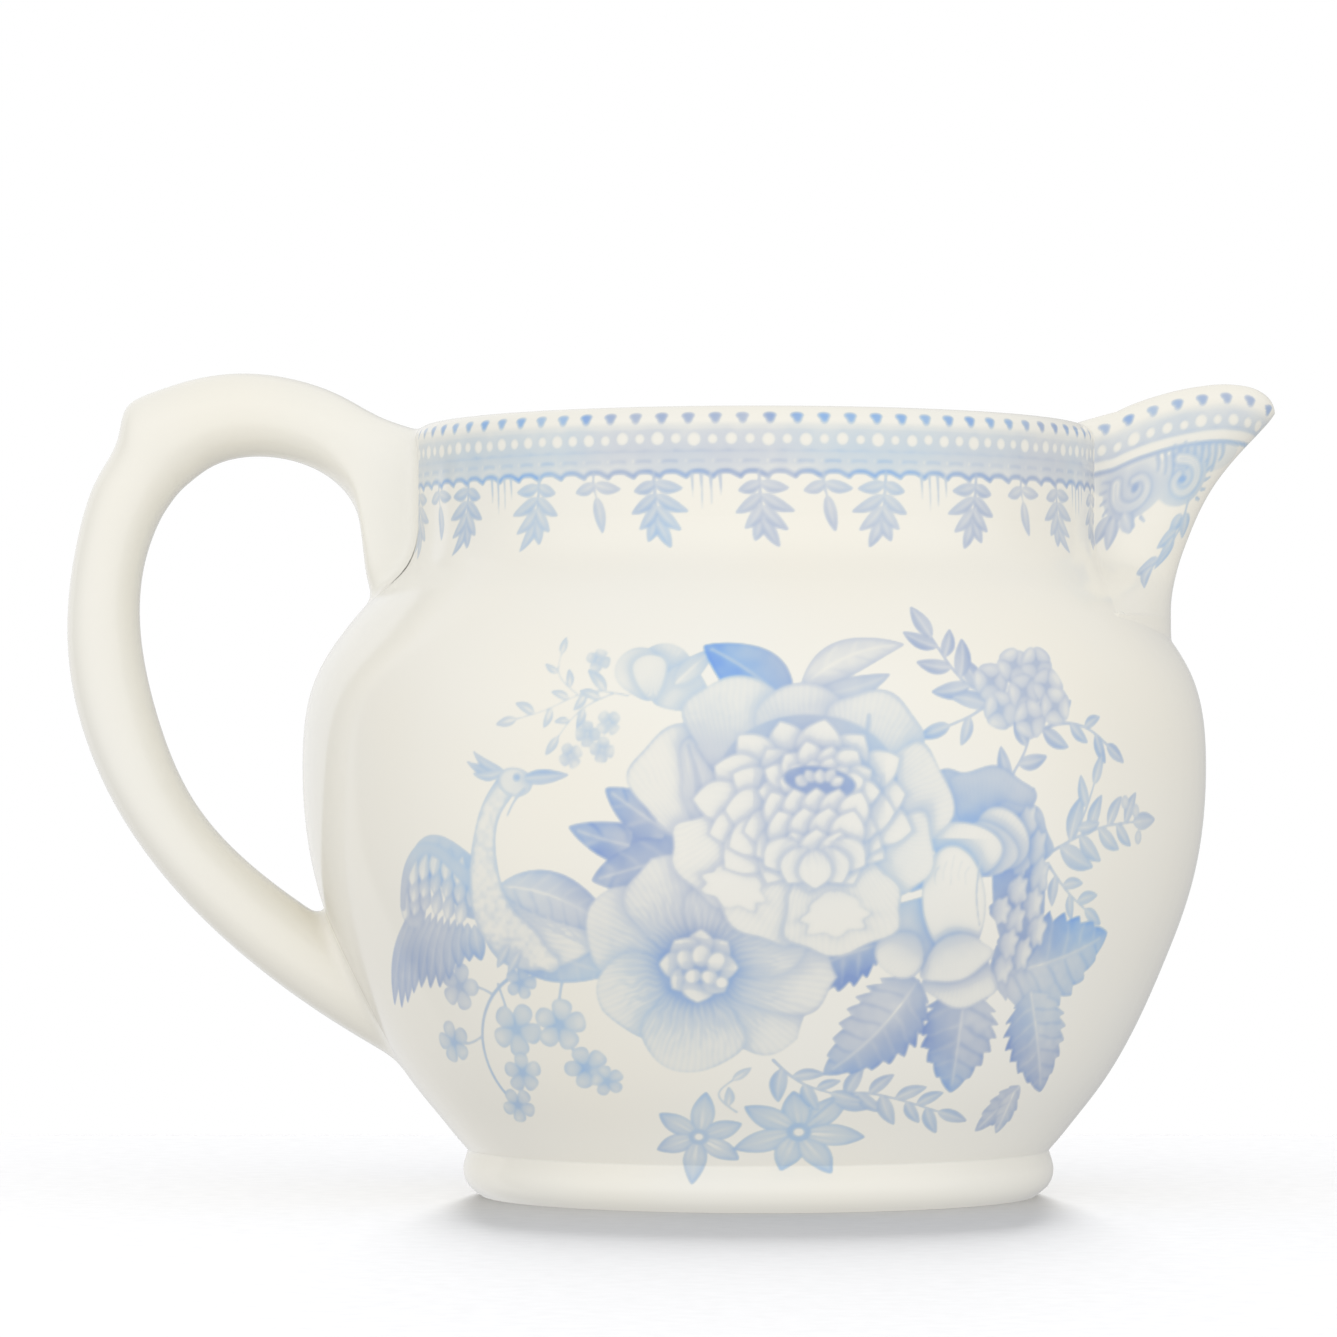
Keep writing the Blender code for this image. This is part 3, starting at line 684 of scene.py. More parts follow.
def foliage(sheet):
    """The big toothed leaves round the flowers."""
    leaf(sheet, (2.6, 45.2), (-5.0, 51.0), 5.4, ink=0.72, contrast=0.1, bend=-0.04, fat=0.8, tip_ink=0.1,
         edge=0.3)
    leaf(sheet, (3.6, 46.8), (13.0, 51.2), 3.6, ink=0.12, bend=0.1, edge=0.3, ribs=4)
    leaf(sheet, (4.6, 46.2), (11.6, 48.2), 2.2, ink=0.2, bend=-0.05, edge=0.2)
    leaf(sheet, (-4.6, 32.4), (-17.4, 34.6), 4.6, ink=0.62, teeth=3, contrast=0.2, bend=0.05, ribs=4)
    leaf(sheet, (-6.0, 32.6), (-13.9, 38.0), 4.4, ink=0.66, teeth=3, contrast=0.15, ribs=4)
    leaf(sheet, (-6.0, 32.4), (-15.2, 29.8), 4.8, ink=0.6, teeth=3, contrast=0.2, side=-1, ribs=4)
    leaf(sheet, (21.8, 20.8), (36.6, 24.6), 9.4, teeth=9, ribs=7, contrast=0.42, bend=-0.04,
         fat=0.72, edge=0.3, tip_ink=0.3)
    leaf(sheet, (26.6, 19.0), (29.8, 8.2), 7.6, teeth=8, ribs=7, contrast=0.42, side=-1,
         fat=0.75, edge=0.3, tip_ink=0.35)
    leaf(sheet, (19.2, 19.6), (18.2, 8.6), 7.8, ink=0.46, teeth=8, ribs=6, contrast=0.42, side=-1,
         fat=0.72, edge=0.3, tip_ink=0.4)
    leaf(sheet, (14.4, 20.4), (5.8, 10.8), 7.2, teeth=9, ribs=7, contrast=0.44, bend=0.05,
         fat=0.72, edge=0.3, tip_ink=0.3)
    leaf(sheet, (10.6, 23.8), (1.4, 19.4), 5.8, ink=0.62, teeth=7, ribs=6, bend=-0.05,
         fat=0.75, edge=0.3, tip_ink=0.3)
    leaf(sheet, (26.6, 9.0), (21.6, 3.8), 3.0, ink=0.4, teeth=5, ribs=4)
    leaf(sheet, (26.0, 8.6), (24.4, 3.4), 2.6, ink=0.36, teeth=4, ribs=4)


def sprays(sheet):
    """Sprigs, berries and small flowers round the outside."""
    sprig(sheet, [(21.5, 35.5), (23.8, 39.5), (25.4, 43.0), (24.6, 45.0)], 5, 3.6, ink=0.4, seed=4,
          end_leaf=False)
    sprig(sheet, [(25.2, 42.6), (29.0, 43.8), (32.6, 43.4), (35.2, 42.0)], 5, 3.0, ink=0.42, seed=5)
    sprig(sheet, [(22.0, 46.6), (19.6, 47.0), (17.4, 49.0), (15.6, 52.0)], 6, 3.9, ink=0.42, seed=6)
    sprig(sheet, [(21.8, 46.0), (19.6, 44.6), (17.2, 43.6)], 2, 3.2, ink=0.36, seed=7)
    for i, (u, v) in enumerate([(21.4, 47.6), (24.0, 49.2), (26.6, 49.4), (22.4, 45.0), (25.0, 46.6),
                                (27.8, 47.2),
                                (25.6, 44.2), (28.6, 45.4)]):
        blossom(sheet, (u, v), 1.75, 4, 25 * i, rim=0.42, eye=0.5, width=1.25)
    sprig(sheet, [(27.0, 31.8), (30.6, 33.4), (35.0, 34.6), (39.4, 35.0)], 8, 4.0, ink=0.3, seed=8, spread=50)
    sprig(sheet, [(30.8, 33.6), (32.6, 36.6), (33.4, 38.4)], 2, 3.0, ink=0.28, seed=9)
    sprig(sheet, [(28.0, 31.0), (30.4, 28.6), (32.8, 27.0)], 4, 3.0, ink=0.28, seed=10)
    for u, v in [(38.0, 36.8), (39.8, 36.0), (40.4, 33.6)]:
        dot(sheet, (u, v), 1.2, 1.3, ink=0.16, edge=0.22)
    for i, middle in enumerate([(-5.4, 3.6), (3.6, 4.2)]):
        star(sheet, middle, (4.7, 5.6)[i], (6, 7)[i], (18, 40)[i])
    sprig(sheet, [(5.0, 6.0), (8.0, 8.6), (12.0, 8.2), (17.0, 6.4)], 9, 3.6, ink=0.36, seed=12, spread=48)
    sprig(sheet, [(1.2, 12.4), (4.0, 9.8), (6.4, 8.8)], 4, 3.2, ink=0.34, seed=13)
    sprig(sheet, [(-2.0, 6.6), (-3.6, 8.8), (-2.4, 10.2)], 1, 2.2, ink=0.2, seed=14)
    stem = [(-18.4, 21.4), (-23.4, 20.6), (-26.6, 17.6), (-27.6, 13.6), (-26.2, 9.2), (-24.2, 6.8)]
    stroke(sheet, stem, 0.34, 0.26, ink=0.5)
    stroke(sheet, [(-26.0, 18.8), (-28.2, 19.4), (-29.6, 18.6)], 0.24, 0.2)
    stroke(sheet, [(-27.6, 14.4), (-29.6, 13.6), (-31.4, 13.8)], 0.24, 0.2)
    stroke(sheet, [(-25.2, 19.8), (-24.4, 17.4), (-23.8, 15.2)], 0.24, 0.2)
    stroke(sheet, [(-18.2, 20.4), (-18.6, 16.2), (-16.6, 12.4), (-14.0, 10.4)], 0.26, 0.2)
    for i, (u, v, reach) in enumerate([(-30.0, 19.4, 2.4), (-31.8, 13.6, 2.3), (-23.4, 15.2, 2.8),
                                       (-23.0, 10.6, 2.2),
                                       (-24.0, 6.8, 2.1), (-18.6, 15.8, 2.7), (-16.0, 11.4, 2.3), (-22.6,
                                                                                                   20.0, 1.7),
                                       (-14.0, 10.0, 1.7)]):
        blossom(sheet, (u, v), reach, 5, 31 * i, ink=0.14, rim=0.36, eye=0.55, width=0.72)
    sprig(sheet, [(-11.8, 46.2), (-15.0, 46.6), (-19.6, 45.0), (-22.6, 44.2)], 5, 2.3, stem=0.16, seed=15)
    sprig(sheet, [(-13.2, 46.4), (-16.4, 44.8), (-18.4, 42.6)], 3, 2.1, stem=0.16, seed=16)
    sprig(sheet, [(-16.6, 46.4), (-18.4, 48.4), (-18.2, 50.2)], 2, 1.9, stem=0.16, seed=17)
    for i, (u, v) in enumerate([(-15.6, 42.8), (-13.6, 43.8), (-14.2, 41.4), (-17.2, 40.9), (-14.6, 49.6)]):
        blossom(sheet, (u, v), 1.2, 4, 40 * i, rim=0.14, eye=0.24)
    for i, (degrees, long, wide) in enumerate([(70, 5.6, 4.4), (115, 5.2, 4.2), (20, 5.0, 4.0),
                                               (95, 4.4, 3.0)]):
        petal(sheet, (-9.6, 45.8), place((-9.6, 45.8), long, degrees), wide, ink=0.08, root=0.14, rim=0.17,
              turn=i, lobes=3, frill=0.04)
    leaf(sheet, (-7.6, 47.2), (-4.2, 50.6), 2.0, ink=0.16, edge=0.16)


def bird(sheet):
    """A long-necked bird at the left, its head turned to the flowers and one wing raised."""
    for i in range(11):
        share = i / 10
        base = (-35.2 + 7.6 * share, 27.2 - 1.6 * share)
        tip = (-41.4 + 14.4 * share, 17.2 + 5.0 * share ** 1.3 + 0.5 * math.sin(5 * i))
        leaf(sheet, base, tip, 1.9, ink=0.24, fat=1.1, edge=0.2, tip_ink=0.5, halo=0.3,
             side=-1, bend=-0.03)
    body = [(-27.4, 28.6), (-30.2, 31.0), (-32.6, 31.8), (-34.6, 29.6), (-35.6, 26.6)]
    stroke(sheet, body, 5.0, 3.0, ink=0.24, edge=0.2)
    for row in range(3):
        for i in range(6):
            u = -36.8 + 1.5 * i + 0.75 * (row % 2) + 0.75 * row
            v = 26.4 + 1.65 * row - 0.42 * i + 0.9 * min(i, 2)
            leaf(sheet, (u + 0.7, v + 2.2), (u - 0.2, v - 0.6), 1.5, ink=0.1, fat=1.3, contrast=0.2,
                 edge=0.24,
                 tip_ink=0.0, halo=0.3)
    stroke(sheet, [(-37.0, 27.2), (-36.0, 30.6), (-33.6, 32.6), (-31.0, 32.0), (-28.8, 30.4),
                   (-27.0, 29.2)], 0.8, 1.5,
           ink=0.34, edge=0.12)
    leaf(sheet, (-25.0, 26.0), (-13.4, 21.0), 5.6, ink=0.3, ribs=7, side=-1, bend=-0.05)
    petal(sheet, (-26.6, 25.4), (-13.6, 25.6), 8.4, ink=0.08, root=0.1, frill=0.01, broad=-0.2,
          hatch=0.08, lobes=3)
    leaf(sheet, (-24.6, 29.2), (-12.6, 24.4), 4.4, ink=0.26, bend=0.1, ribs=8, tip_ink=0.3,
         edge=0.26)
    for i in range(5):
        stroke(sheet, [(-22.8 + 1.6 * i, 27.6 - 0.6 * i), (-20.6 + 1.6 * i, 25.8 - 0.7 * i),
                       (-18.0 + 1.2 * i, 25.0 - 0.7 * i)], 0.2, 0.12, ink=0.24)
    neck = [(-23.6, 38.4), (-25.4, 36.0), (-26.2, 33.0), (-26.2, 29.6), (-25.4, 26.6), (-23.0, 24.0),
            (-19.4, 22.0)]
    line = smooth_line(neck, 90)
    rows, columns, u, v = sheet.window((-23.0, 30.0), 11.0)
    inside = np.full(u.shape, -99.0)
    for at, (x, y) in enumerate(line):
        width = 1.1 + 1.2 * smooth_step(0.15, 0.75, at / 89) - 1.3 * smooth_step(0.8, 1.0, at / 89)
        inside = np.maximum(inside, width - np.hypot(u - x, v - y))
    tone = 0.11 + 0.06 * cloud(u, v, 0.4, 11) + 0.34 * np.exp(-np.maximum(inside, 0.0) / 0.2)
    sheet.lay(rows, columns, inside, tone, 0.25)
    for degrees, long in [(168, 4.2), (152, 3.8), (184, 3.4)]:
        leaf(sheet, (-24.0, 39.6), place((-24.0, 39.6), long, degrees), 0.9, ink=0.3, edge=0.16, bend=0.1)
    dot(sheet, (-22.8, 38.6), 3.6, 2.6, ink=0.12, edge=0.3, lean=-10)
    leaf(sheet, (-21.8, 38.9), (-17.4, 39.2), 1.3, fat=0.7, edge=0.15)
    dot(sheet, (-22.6, 39.0), 0.7, 0.6, ink=0.55)
    stroke(sheet, [(-21.8, 37.9), (-22.6, 37.2), (-23.6, 35.6)], 0.3, 0.2, ink=0.34)
    for u, v in [(-24.6, 22.6), (-23.4, 22.0)]:
        leaf(sheet, (u + 0.8, v + 1.0), (u - 0.6, v - 1.2), 1.0, ink=0.3)


def draw_spray():
    """The printed spray of one side, in millimetres along the bowl from its middle and up from the foot."""
    sheet = Sheet(-45.0, 45.0, -2.0, 56.0, 9.0)
    sprays(sheet)
    bird(sheet)
    foliage(sheet)
    side_rose(sheet)
    open_flower(sheet)
    big_flower(sheet)
    return sheet.finish(0.075, 0.12, 5)


def band(sheet, high, low, ink_high, ink_low):
    """A level band of ink between two heights."""
    rows = slice(None)
    v = sheet.v[:, None] + 0 * sheet.u[None, :]
    share = np.clip((high - v) / (high - low), 0.0, 1.0)
    sheet.lay(rows, rows, np.minimum(high - v, v - low), ink_high + (ink_low - ink_high) * share)


def pendant(sheet, middle, top, size, pairs, lean, ink):
    """A hanging sprig: pairs of leaves fanned down a stem that ends in a fork, or in a single long leaf."""
    end = (middle + 0.3 * lean, top - (0.4 + 1.1 * pairs) * size)
    stroke(sheet, [(middle, top + 0.7), (middle + 0.1 * lean, top - 0.9 * size), end], 0.24, 0.16,
           ink=ink + 0.12)
    for way, long in ((-1, 2.9 - 0.5 * lean), (1, 2.9 + 0.5 * lean)) if pairs > 1 else ((0.3 * lean, 3.6),):
        leaf(sheet, end, place(end, long * size, -90 + way * 22 + 6 * lean), 1.2 * size, ink=ink,
             side=1 - 2 * (way > 0), edge=0.16, tip_ink=0.3, halo=0.0)
    for i in range(pairs):
        joint = (middle + 0.1 * lean * (i + 1), top - (0.3 + 1.1 * i) * size)
        for way in (-1, 1):
            long = ((2.5, 3.3, 3.1)[i] + 0.3 * way * lean) * size
            tip = place(joint, long, -90 + way * (74, 58, 41)[i] + 5 * lean)
            leaf(sheet, joint, tip, 1.2 * size, ink=ink, side=-way, edge=0.16, tip_ink=0.26, halo=0.1,
                 bend=-0.05 * way)


def rim_bands(sheet, left, right, drops, beads, wash):
    """Drops under the lip and a pale band with beads, at those heights, from left to right."""
    band(sheet, drops - 0.4, drops - 1.0, 0.03, wash)
    band(sheet, drops - 1.0, -5.1, wash, 1.5 * wash)
    rng = np.random.default_rng(3)
    for i in range(int((right - left) / DROP_PITCH)):
        u = left + (i + 0.5) * DROP_PITCH
        strong = rng.uniform(0.55, 0.8)
        dot(sheet, (u, drops + 0.12), 1.15, 0.62, ink=strong)
        dot(sheet, (u + 0.05, drops - 0.12), 0.75, 0.85, ink=strong)
        stroke(sheet, [(u - 1.2, -5.0), (u, -5.12), (u + 1.1, -5.0)], 0.24, 0.2, ink=rng.uniform(0.34, 0.48))
    for i in range(int((right - left) / BEAD_PITCH)):
        u = left + (i + 0.5) * BEAD_PITCH
        wide = (1.34, 1.1)[i % 2] * rng.uniform(0.92, 1.08)
        dot(sheet, (u, beads + rng.uniform(-0.08, 0.08)), wide, wide, ink=0.0, edge=0.36)


def draw_border():
    """The printed border of the neck: along it from the middle of the side, and down from the lip's top."""
    sheet = Sheet(-48.0, 48.0, -17.0, 0.4, 9.0)
    rim_bands(sheet, -47.0, 47.0, -1.95, -3.95, 0.18)
    band(sheet, -5.1, -7.1, 0.26, 0.15)
    rng = np.random.default_rng(8)
    for i in range(int(92 / DROP_PITCH)):
        u = -46.0 + i * DROP_PITCH
        stroke(sheet, [(u + 0.35, -5.95), (u + 1.0, -5.9), (u + 1.7, -5.95)], 0.24, 0.22,
               ink=rng.uniform(0.34, 0.55))
        dot(sheet, (u + 0.05, -5.9), 0.5, 0.45, ink=0.06, edge=0.25)
        stroke(sheet, [(u + 0.1, -7.3), (u + 0.45, -6.98), (u + 1.1, -6.84), (u + 1.7, -6.9),
                       (u + 2.1, -7.08),
                       (u + DROP_PITCH + 0.1, -7.3)], 0.34, 0.42, ink=rng.uniform(0.6, 0.9))
    for i in range(-3, 4):
        start = i * PENDANT_REPEAT
        for share, pairs, way in ((0.0, 3, (-1) ** i), (0.275, 1, 1), (0.55, 3, -(-1) ** i)):
            pendant(sheet, start + share * PENDANT_REPEAT, -7.6, 0.95, pairs, way, rng.uniform(0.22, 0.34))
        for j, long in enumerate((1.8, 2.8, 2.4, 1.6)):
            u = start + 0.775 * PENDANT_REPEAT + 0.85 * (j - 1.5)
            stroke(sheet, [(u, -7.1), (u + 0.1, -7.4 - long / 2), (u + 0.12, -7.4 - long)], 0.28, 0.12,
                   ink=rng.uniform(0.32, 0.46))
    return sheet.finish(0.09, 0.12, 21)


def scroll(sheet, middle, size, turn, step, hatches):
    """A pale ribbon with blue edges that curls round a dark eye, with short hatching on its outer side."""
    path = [place(middle, size * (1 - 0.11 * i), turn + step * i) for i in range(7)]
    stroke(sheet, path, 1.3, 0.9, ink=0.06, edge=0.6, halo=0.3)
    stroke(sheet, path, 0.3, 0.2, ink=0.2)
    dot(sheet, middle, 0.7, 0.9, ink=0.65, lean=turn)
    for i in range(hatches):
        degrees = turn + 0.32 * step * i
        stroke(sheet, [place(middle, size + 0.85, degrees), place(middle, size + 1.5, degrees + 5)], 0.3,
               0.16,
               ink=0.5)


def draw_spout_print():
    """The print on one cheek of the spout: along it from the crease, and down from the top of the lip."""
    sheet = Sheet(-1.0, 27.0, -26.0, 0.4, 9.0)
    rim_bands(sheet, 0.0, 26.5, -2.2, -4.3, 0.17)
    band(sheet, -5.1, -5.5, 0.2, 0.04)
    for u, v, wide, high in ((4.3, -8.8, 6.8, 5.8), (9.1, -9.2, 5.8, 5.4), (12.0, -7.4, 8.0, 3.4),
                             (1.6, -7.2, 4.6, 2.8)):
        dot(sheet, (u, v), wide, high, ink=0.13)
    band(sheet, -5.5, -6.2, 0.03, 0.03)
    stroke(sheet, [(-1.0, -6.35), (6.0, -6.3), (14.0, -6.35), (26.5, -6.4)], 0.36, 0.3, ink=0.6)
    for i in range(10):
        u = 6.6 + 0.75 * i
        stroke(sheet, [(u, -6.5), (u + 0.1, -7.4 - 0.5 * (i % 2)), (u, -8.0 - 0.5 * (i % 3))], 0.36, 0.2,
               ink=0.5)
    scroll(sheet, (4.3, -8.9), 2.2, 150, 52, 9)
    scroll(sheet, (9.2, -9.4), 2.0, 100, -56, 9)
    for u, v, degrees, long in [(1.6, -10.6, 238, 2.8), (2.2, -10.8, 262, 3.0), (3.2, -10.8, 292, 2.4),
                                (9.6, -12.6, 240, 2.0), (10.2, -12.6, 285, 2.4), (9.4, -14.0, 215, 2.2),
                                (9.2, -14.6, 262, 2.6), (8.4, -16.4, 200, 2.0), (8.2, -16.8, 250, 2.0)]:
        leaf(sheet, (u, v), place((u, v), long, degrees), 1.4, ink=0.3, edge=0.26)
    stroke(sheet, [(10.2, -11.4), (9.8, -14.0), (8.4, -16.8)], 0.26, 0.2, ink=0.42)
    return sheet.finish(0.09, 0.1, 31)


def rim_skin(outer_edge, inner_edge, steps):
    """The rounded lip from the outer wall's edge over to the inner wall's."""
    over = inner_edge - outer_edge
    thickness = np.linalg.norm(over, axis=1)[None, :, None]
    angle = np.linspace(0.0, math.pi, steps)[:, None, None]
    lift = np.array([0.0, 0.0, 1.0]) * np.minimum(thickness, WALL) / 2 * np.sin(angle)
    return outer_edge[None] + over[None] * (1 - np.cos(angle)) / 2 + lift


def lean(z):
    """How far the jug's lowest part stands towards the spout, off the axis of the belly."""
    return FOOT_LEAN * smooth_step(24.0, 5.0, z)


def leaned(grid):
    return grid + lean(grid[..., 2:]) * np.array([1.0, 0.0, 0.0])


def even_rows(line, end):
    """Points of the line about one pitch apart up to the height end, and their distances along it."""
    lengths = np.concatenate([[0.0], np.cumsum(np.linalg.norm(np.diff(line, axis=0), axis=1))])
    reach = np.interp(end, line[:, 1], lengths)
    wanted = np.linspace(0.0, reach, round(reach / PITCH) + 1)
    return np.stack([np.interp(wanted, lengths, line[:, 0]), np.interp(wanted, lengths, line[:, 1])],
                    axis=1), wanted


def turned(ring, profile):
    """A grid that carries a ring of points round the axis down a profile of (radius, height)."""
    direction = ring[:, :2] / np.linalg.norm(ring[:, :2], axis=1)[:, None]
    flat = profile[:, 0][:, None, None] * direction[None]
    return np.concatenate([flat, np.broadcast_to(profile[:, 1][:, None, None], flat.shape[:2] + (1,))],
                          axis=2)


def build_wall():
    """The grid of the jug's whole wall: up the outside from the sole, over the lip and down inside the neck.

    Its first column is the middle of the spout. Returns it with the row of the lip's top and the outer rows'
    distances up from the pinch.
    """
    plan = Plan(ACROSS_SPOUT, AROUND_BOWL)
    line, lengths = even_rows(OUTER, RIM_Z - WALL / 2)
    outer = plan.outer_skin(line[:, 1])
    foot_line = smooth_line(FOOT_OUTLINE, 36)
    foot = turned(outer[0], foot_line[:-1])
    inner = plan.inner_skin(np.linspace(RIM_Z - WALL / 2, CHANNEL_VIEW_Z, 40))
    rim = rim_skin(outer[-1], inner[0], 2 * RIM_STEPS + 1)
    below = np.linalg.norm(np.diff(foot_line, axis=0), axis=1)
    lengths = np.concatenate([-np.cumsum(below[::-1])[::-1], lengths])
    grid = softened(leaned(np.concatenate([foot, outer, rim[1:-1], inner])), 0, 2)
    shoulder = slice(*(len(foot) + int(np.argmax(line[:, 1] > z)) for z in SHOULDER_ROWS))
    part = grid[shoulder]
    ease = smooth_step(*SHOULDER_TOP, part[..., 2:]) * smooth_step(*SHOULDER_BOTTOM, part[..., 2:])
    grid[shoulder] = part + ease * (softened(part, 0, SHOULDER_BELL) - part)
    return np.roll(grid, -(ACROSS_SPOUT // 2), axis=1), len(lengths) - 1 + RIM_STEPS, lengths, plan


def printed(grid, top, lengths):
    """Ink at every point of the wall's grid, from the same spray, border and cheek print on either side."""
    x, y = grid[:, :, 0], grid[:, :, 1]
    front = y < 0
    ink = np.zeros(x.shape)
    belly = slice(0, len(lengths))
    round_bowl = np.arctan2(x, np.abs(y)) * np.hypot(x, y)
    along = np.where(front, round_bowl, -round_bowl)
    ink[belly] = draw_spray().at(along[belly], lengths[:, None] + 0 * x[belly])
    down = np.zeros(x.shape)
    down[:top] = np.cumsum(np.linalg.norm(np.diff(grid[:top + 1], axis=0), axis=2)[::-1], axis=0)[::-1]
    round_neck = np.arctan2(x, np.abs(y)) * NECK_RADIUS
    border = draw_border().at(np.where(front, round_neck, -round_neck), -down)
    border *= smooth_step(-BORDER_END - 0.3, -BORDER_END, round_neck)
    crease = ACROSS_SPOUT // 2
    cheek = draw_spout_print()
    for columns in (np.arange(crease, -1, -1), np.arange(-crease, 1)):
        steps = np.linalg.norm(np.diff(grid[:, columns], axis=1), axis=2)
        run = np.concatenate([np.zeros((len(grid), 1)), np.cumsum(steps, axis=1)], axis=1)
        lip_x, lip_z = grid[top, columns, 0], grid[top, columns, 2]
        drop = np.maximum(np.interp(grid[:, columns, 0], lip_x, lip_z) - grid[:, columns, 2], 0.0)
        over = WALL / 2 * np.arccos(np.clip(1 - 2 * drop / WALL, -1.0, 1.0))
        border[:, columns] = cheek.at(run, -np.where(drop < WALL / 2, over,
                                                     drop + (math.pi / 4 - 0.5) * WALL))
    border[top:] = 0.0
    return np.maximum(ink, border)


def build_vessel(materials):
    wall, top, lengths, plan = build_wall()
    normals = grid_normals(wall, True)
    ink = printed(wall, top, lengths)
    count = wall.shape[1]
    crease, back = ACROSS_SPOUT // 2, count // 2
    pinch = int(np.argmin(np.abs(lengths)))
    split = int(np.argmax(wall[:, back, 2] > PANEL_Z))

    def panel(name, first_row, last_row, first_column, last_column):
        rows = slice(first_row, last_row + 1)
        columns = np.arange(first_column, last_column + 1) % count
        return skin(name, wall[rows][:, columns], normals[rows][:, columns],
                    values={"ink": ink[rows][:, columns]})

    end = len(wall) - 1
    pieces = {
        "bowl_front": panel("bowl_front", pinch, split, back, count),
        "bowl_back": panel("bowl_back", pinch, split, 0, back),
        "neck_front": panel("neck_front", split, end, back, count - crease),
        "neck_back": panel("neck_back", split, end, crease, back),
        "spout_skin": panel("spout_skin", split, end, count - crease, count + crease),
        "foot_skin": panel("foot_skin", 0, pinch, 0, count),
    }
    depths = np.linspace(CHANNEL_VIEW_Z, INSIDE_FLOOR[0][1], 70)
    inside = np.roll(plan.inner_skin(depths), -(ACROSS_SPOUT // 2), axis=1)
    inside[0] = wall[-1]
    floor = turned(inside[-1], smooth_line([(inner_radius(INSIDE_FLOOR[0][1]), INSIDE_FLOOR[0][1]),
                                            *INSIDE_FLOOR[1:]], 40)[1:])
    inside = np.concatenate([inside, floor])[:, ::4]
    inside_normals = grid_normals(inside, True)
    inside_normals[0] = normals[-1, ::4]
    pieces["interior"] = skin("interior", inside, inside_normals, closed=True)
    edge = wall[0, ::4] - np.array([FOOT_LEAN, 0.0, 0.0])
    sole = leaned(turned(edge, np.array(SOLE)))
    pieces["foot_sole"] = skin("foot_sole", sole[::-1], grid_normals(sole[::-1], True), closed=True)
    recess = leaned(turned(edge, smooth_line(RECESS, 50)))[::-1]
    pieces["foot_recess"] = skin("foot_recess", recess, grid_normals(recess, True), closed=True)
    for name, piece in pieces.items():
        finish = {"foot_sole": "sole", "interior": "plain", "foot_recess": "plain"}.get(name, "printed")
        piece.data.materials.append(materials[finish])
    return pieces


class Nodes:
    """Short ways to add nodes to a material and join them."""

    def __init__(self, name):
        self.material = bpy.data.materials.new(name)
        self.material.use_nodes = True
        self.tree = self.material.node_tree
        self.shader = self.tree.nodes["Principled BSDF"]
        self.place = self.add("ShaderNodeTexCoord").outputs["Object"]

    def add(self, kind, **settings):
        node = self.tree.nodes.new(kind)
        for key, value in settings.items():
            setattr(node, key, value)
        return node

    def join(self, source, target):
        self.tree.links.new(source, target)

    def noise(self, size, detail=2.0, roughness=0.5, offset=0.0):
        """Soft noise from 0 to 1 with lumps of about that size in millimetres."""
        shifted = self.add("ShaderNodeVectorMath", operation="ADD")
        shifted.inputs[1].default_value = (offset, 0.7 * offset, 0.3 * offset)
        self.join(self.place, shifted.inputs[0])
        node = self.add("ShaderNodeTexNoise")
        node.inputs["Scale"].default_value = 1000.0 / size
        node.inputs["Detail"].default_value = detail
        node.inputs["Roughness"].default_value = roughness
        self.join(shifted.outputs[0], node.inputs["Vector"])
        return node.outputs["Fac"]

    def spread(self, source, low, high, start=0.3, end=0.7):
        """The source's range from start to end stretched over low to high."""
        node = self.add("ShaderNodeMapRange")
        for key, value in (("From Min", start), ("From Max", end), ("To Min", low), ("To Max", high)):
            node.inputs[key].default_value = value
        self.join(source, node.inputs["Value"])
        return node.outputs["Result"]

    def ramp(self, source, stops):
        node = self.add("ShaderNodeValToRGB")
        while len(node.color_ramp.elements) < len(stops):
            node.color_ramp.elements.new(0.5)
        for element, (at, colour) in zip(node.color_ramp.elements, stops):
            element.position = at
            element.color = (*(linear(value) for value in colour), 1.0)
        self.join(source, node.inputs["Fac"])
        return node.outputs["Color"]

    def mix(self, share, a, b):
        node = self.add("ShaderNodeMix", data_type="RGBA")
        self.join(share, node.inputs["Factor"])
        self.join(a, node.inputs["A"])
        self.join(b, node.inputs["B"])
        return node.outputs["Result"]

    def bump(self, layers):
        """Layers of (height from 0 to 1, depth in millimetres) raised one over another."""
        normal = None
        for height, depth in layers:
            node = self.add("ShaderNodeBump")
            node.inputs["Strength"].default_value = 1.0
            node.inputs["Distance"].default_value = depth * MM
            self.join(height, node.inputs["Height"])
            if normal:
                self.join(normal, node.inputs["Normal"])
            normal = node.outputs["Normal"]
        self.join(normal, self.shader.inputs["Normal"])


def linear(value):
    """A colour value from 0 to 255 as light."""
    value /= 255
    return value / 12.92 if value <= 0.04045 else ((value + 0.055) / 1.055) ** 2.4


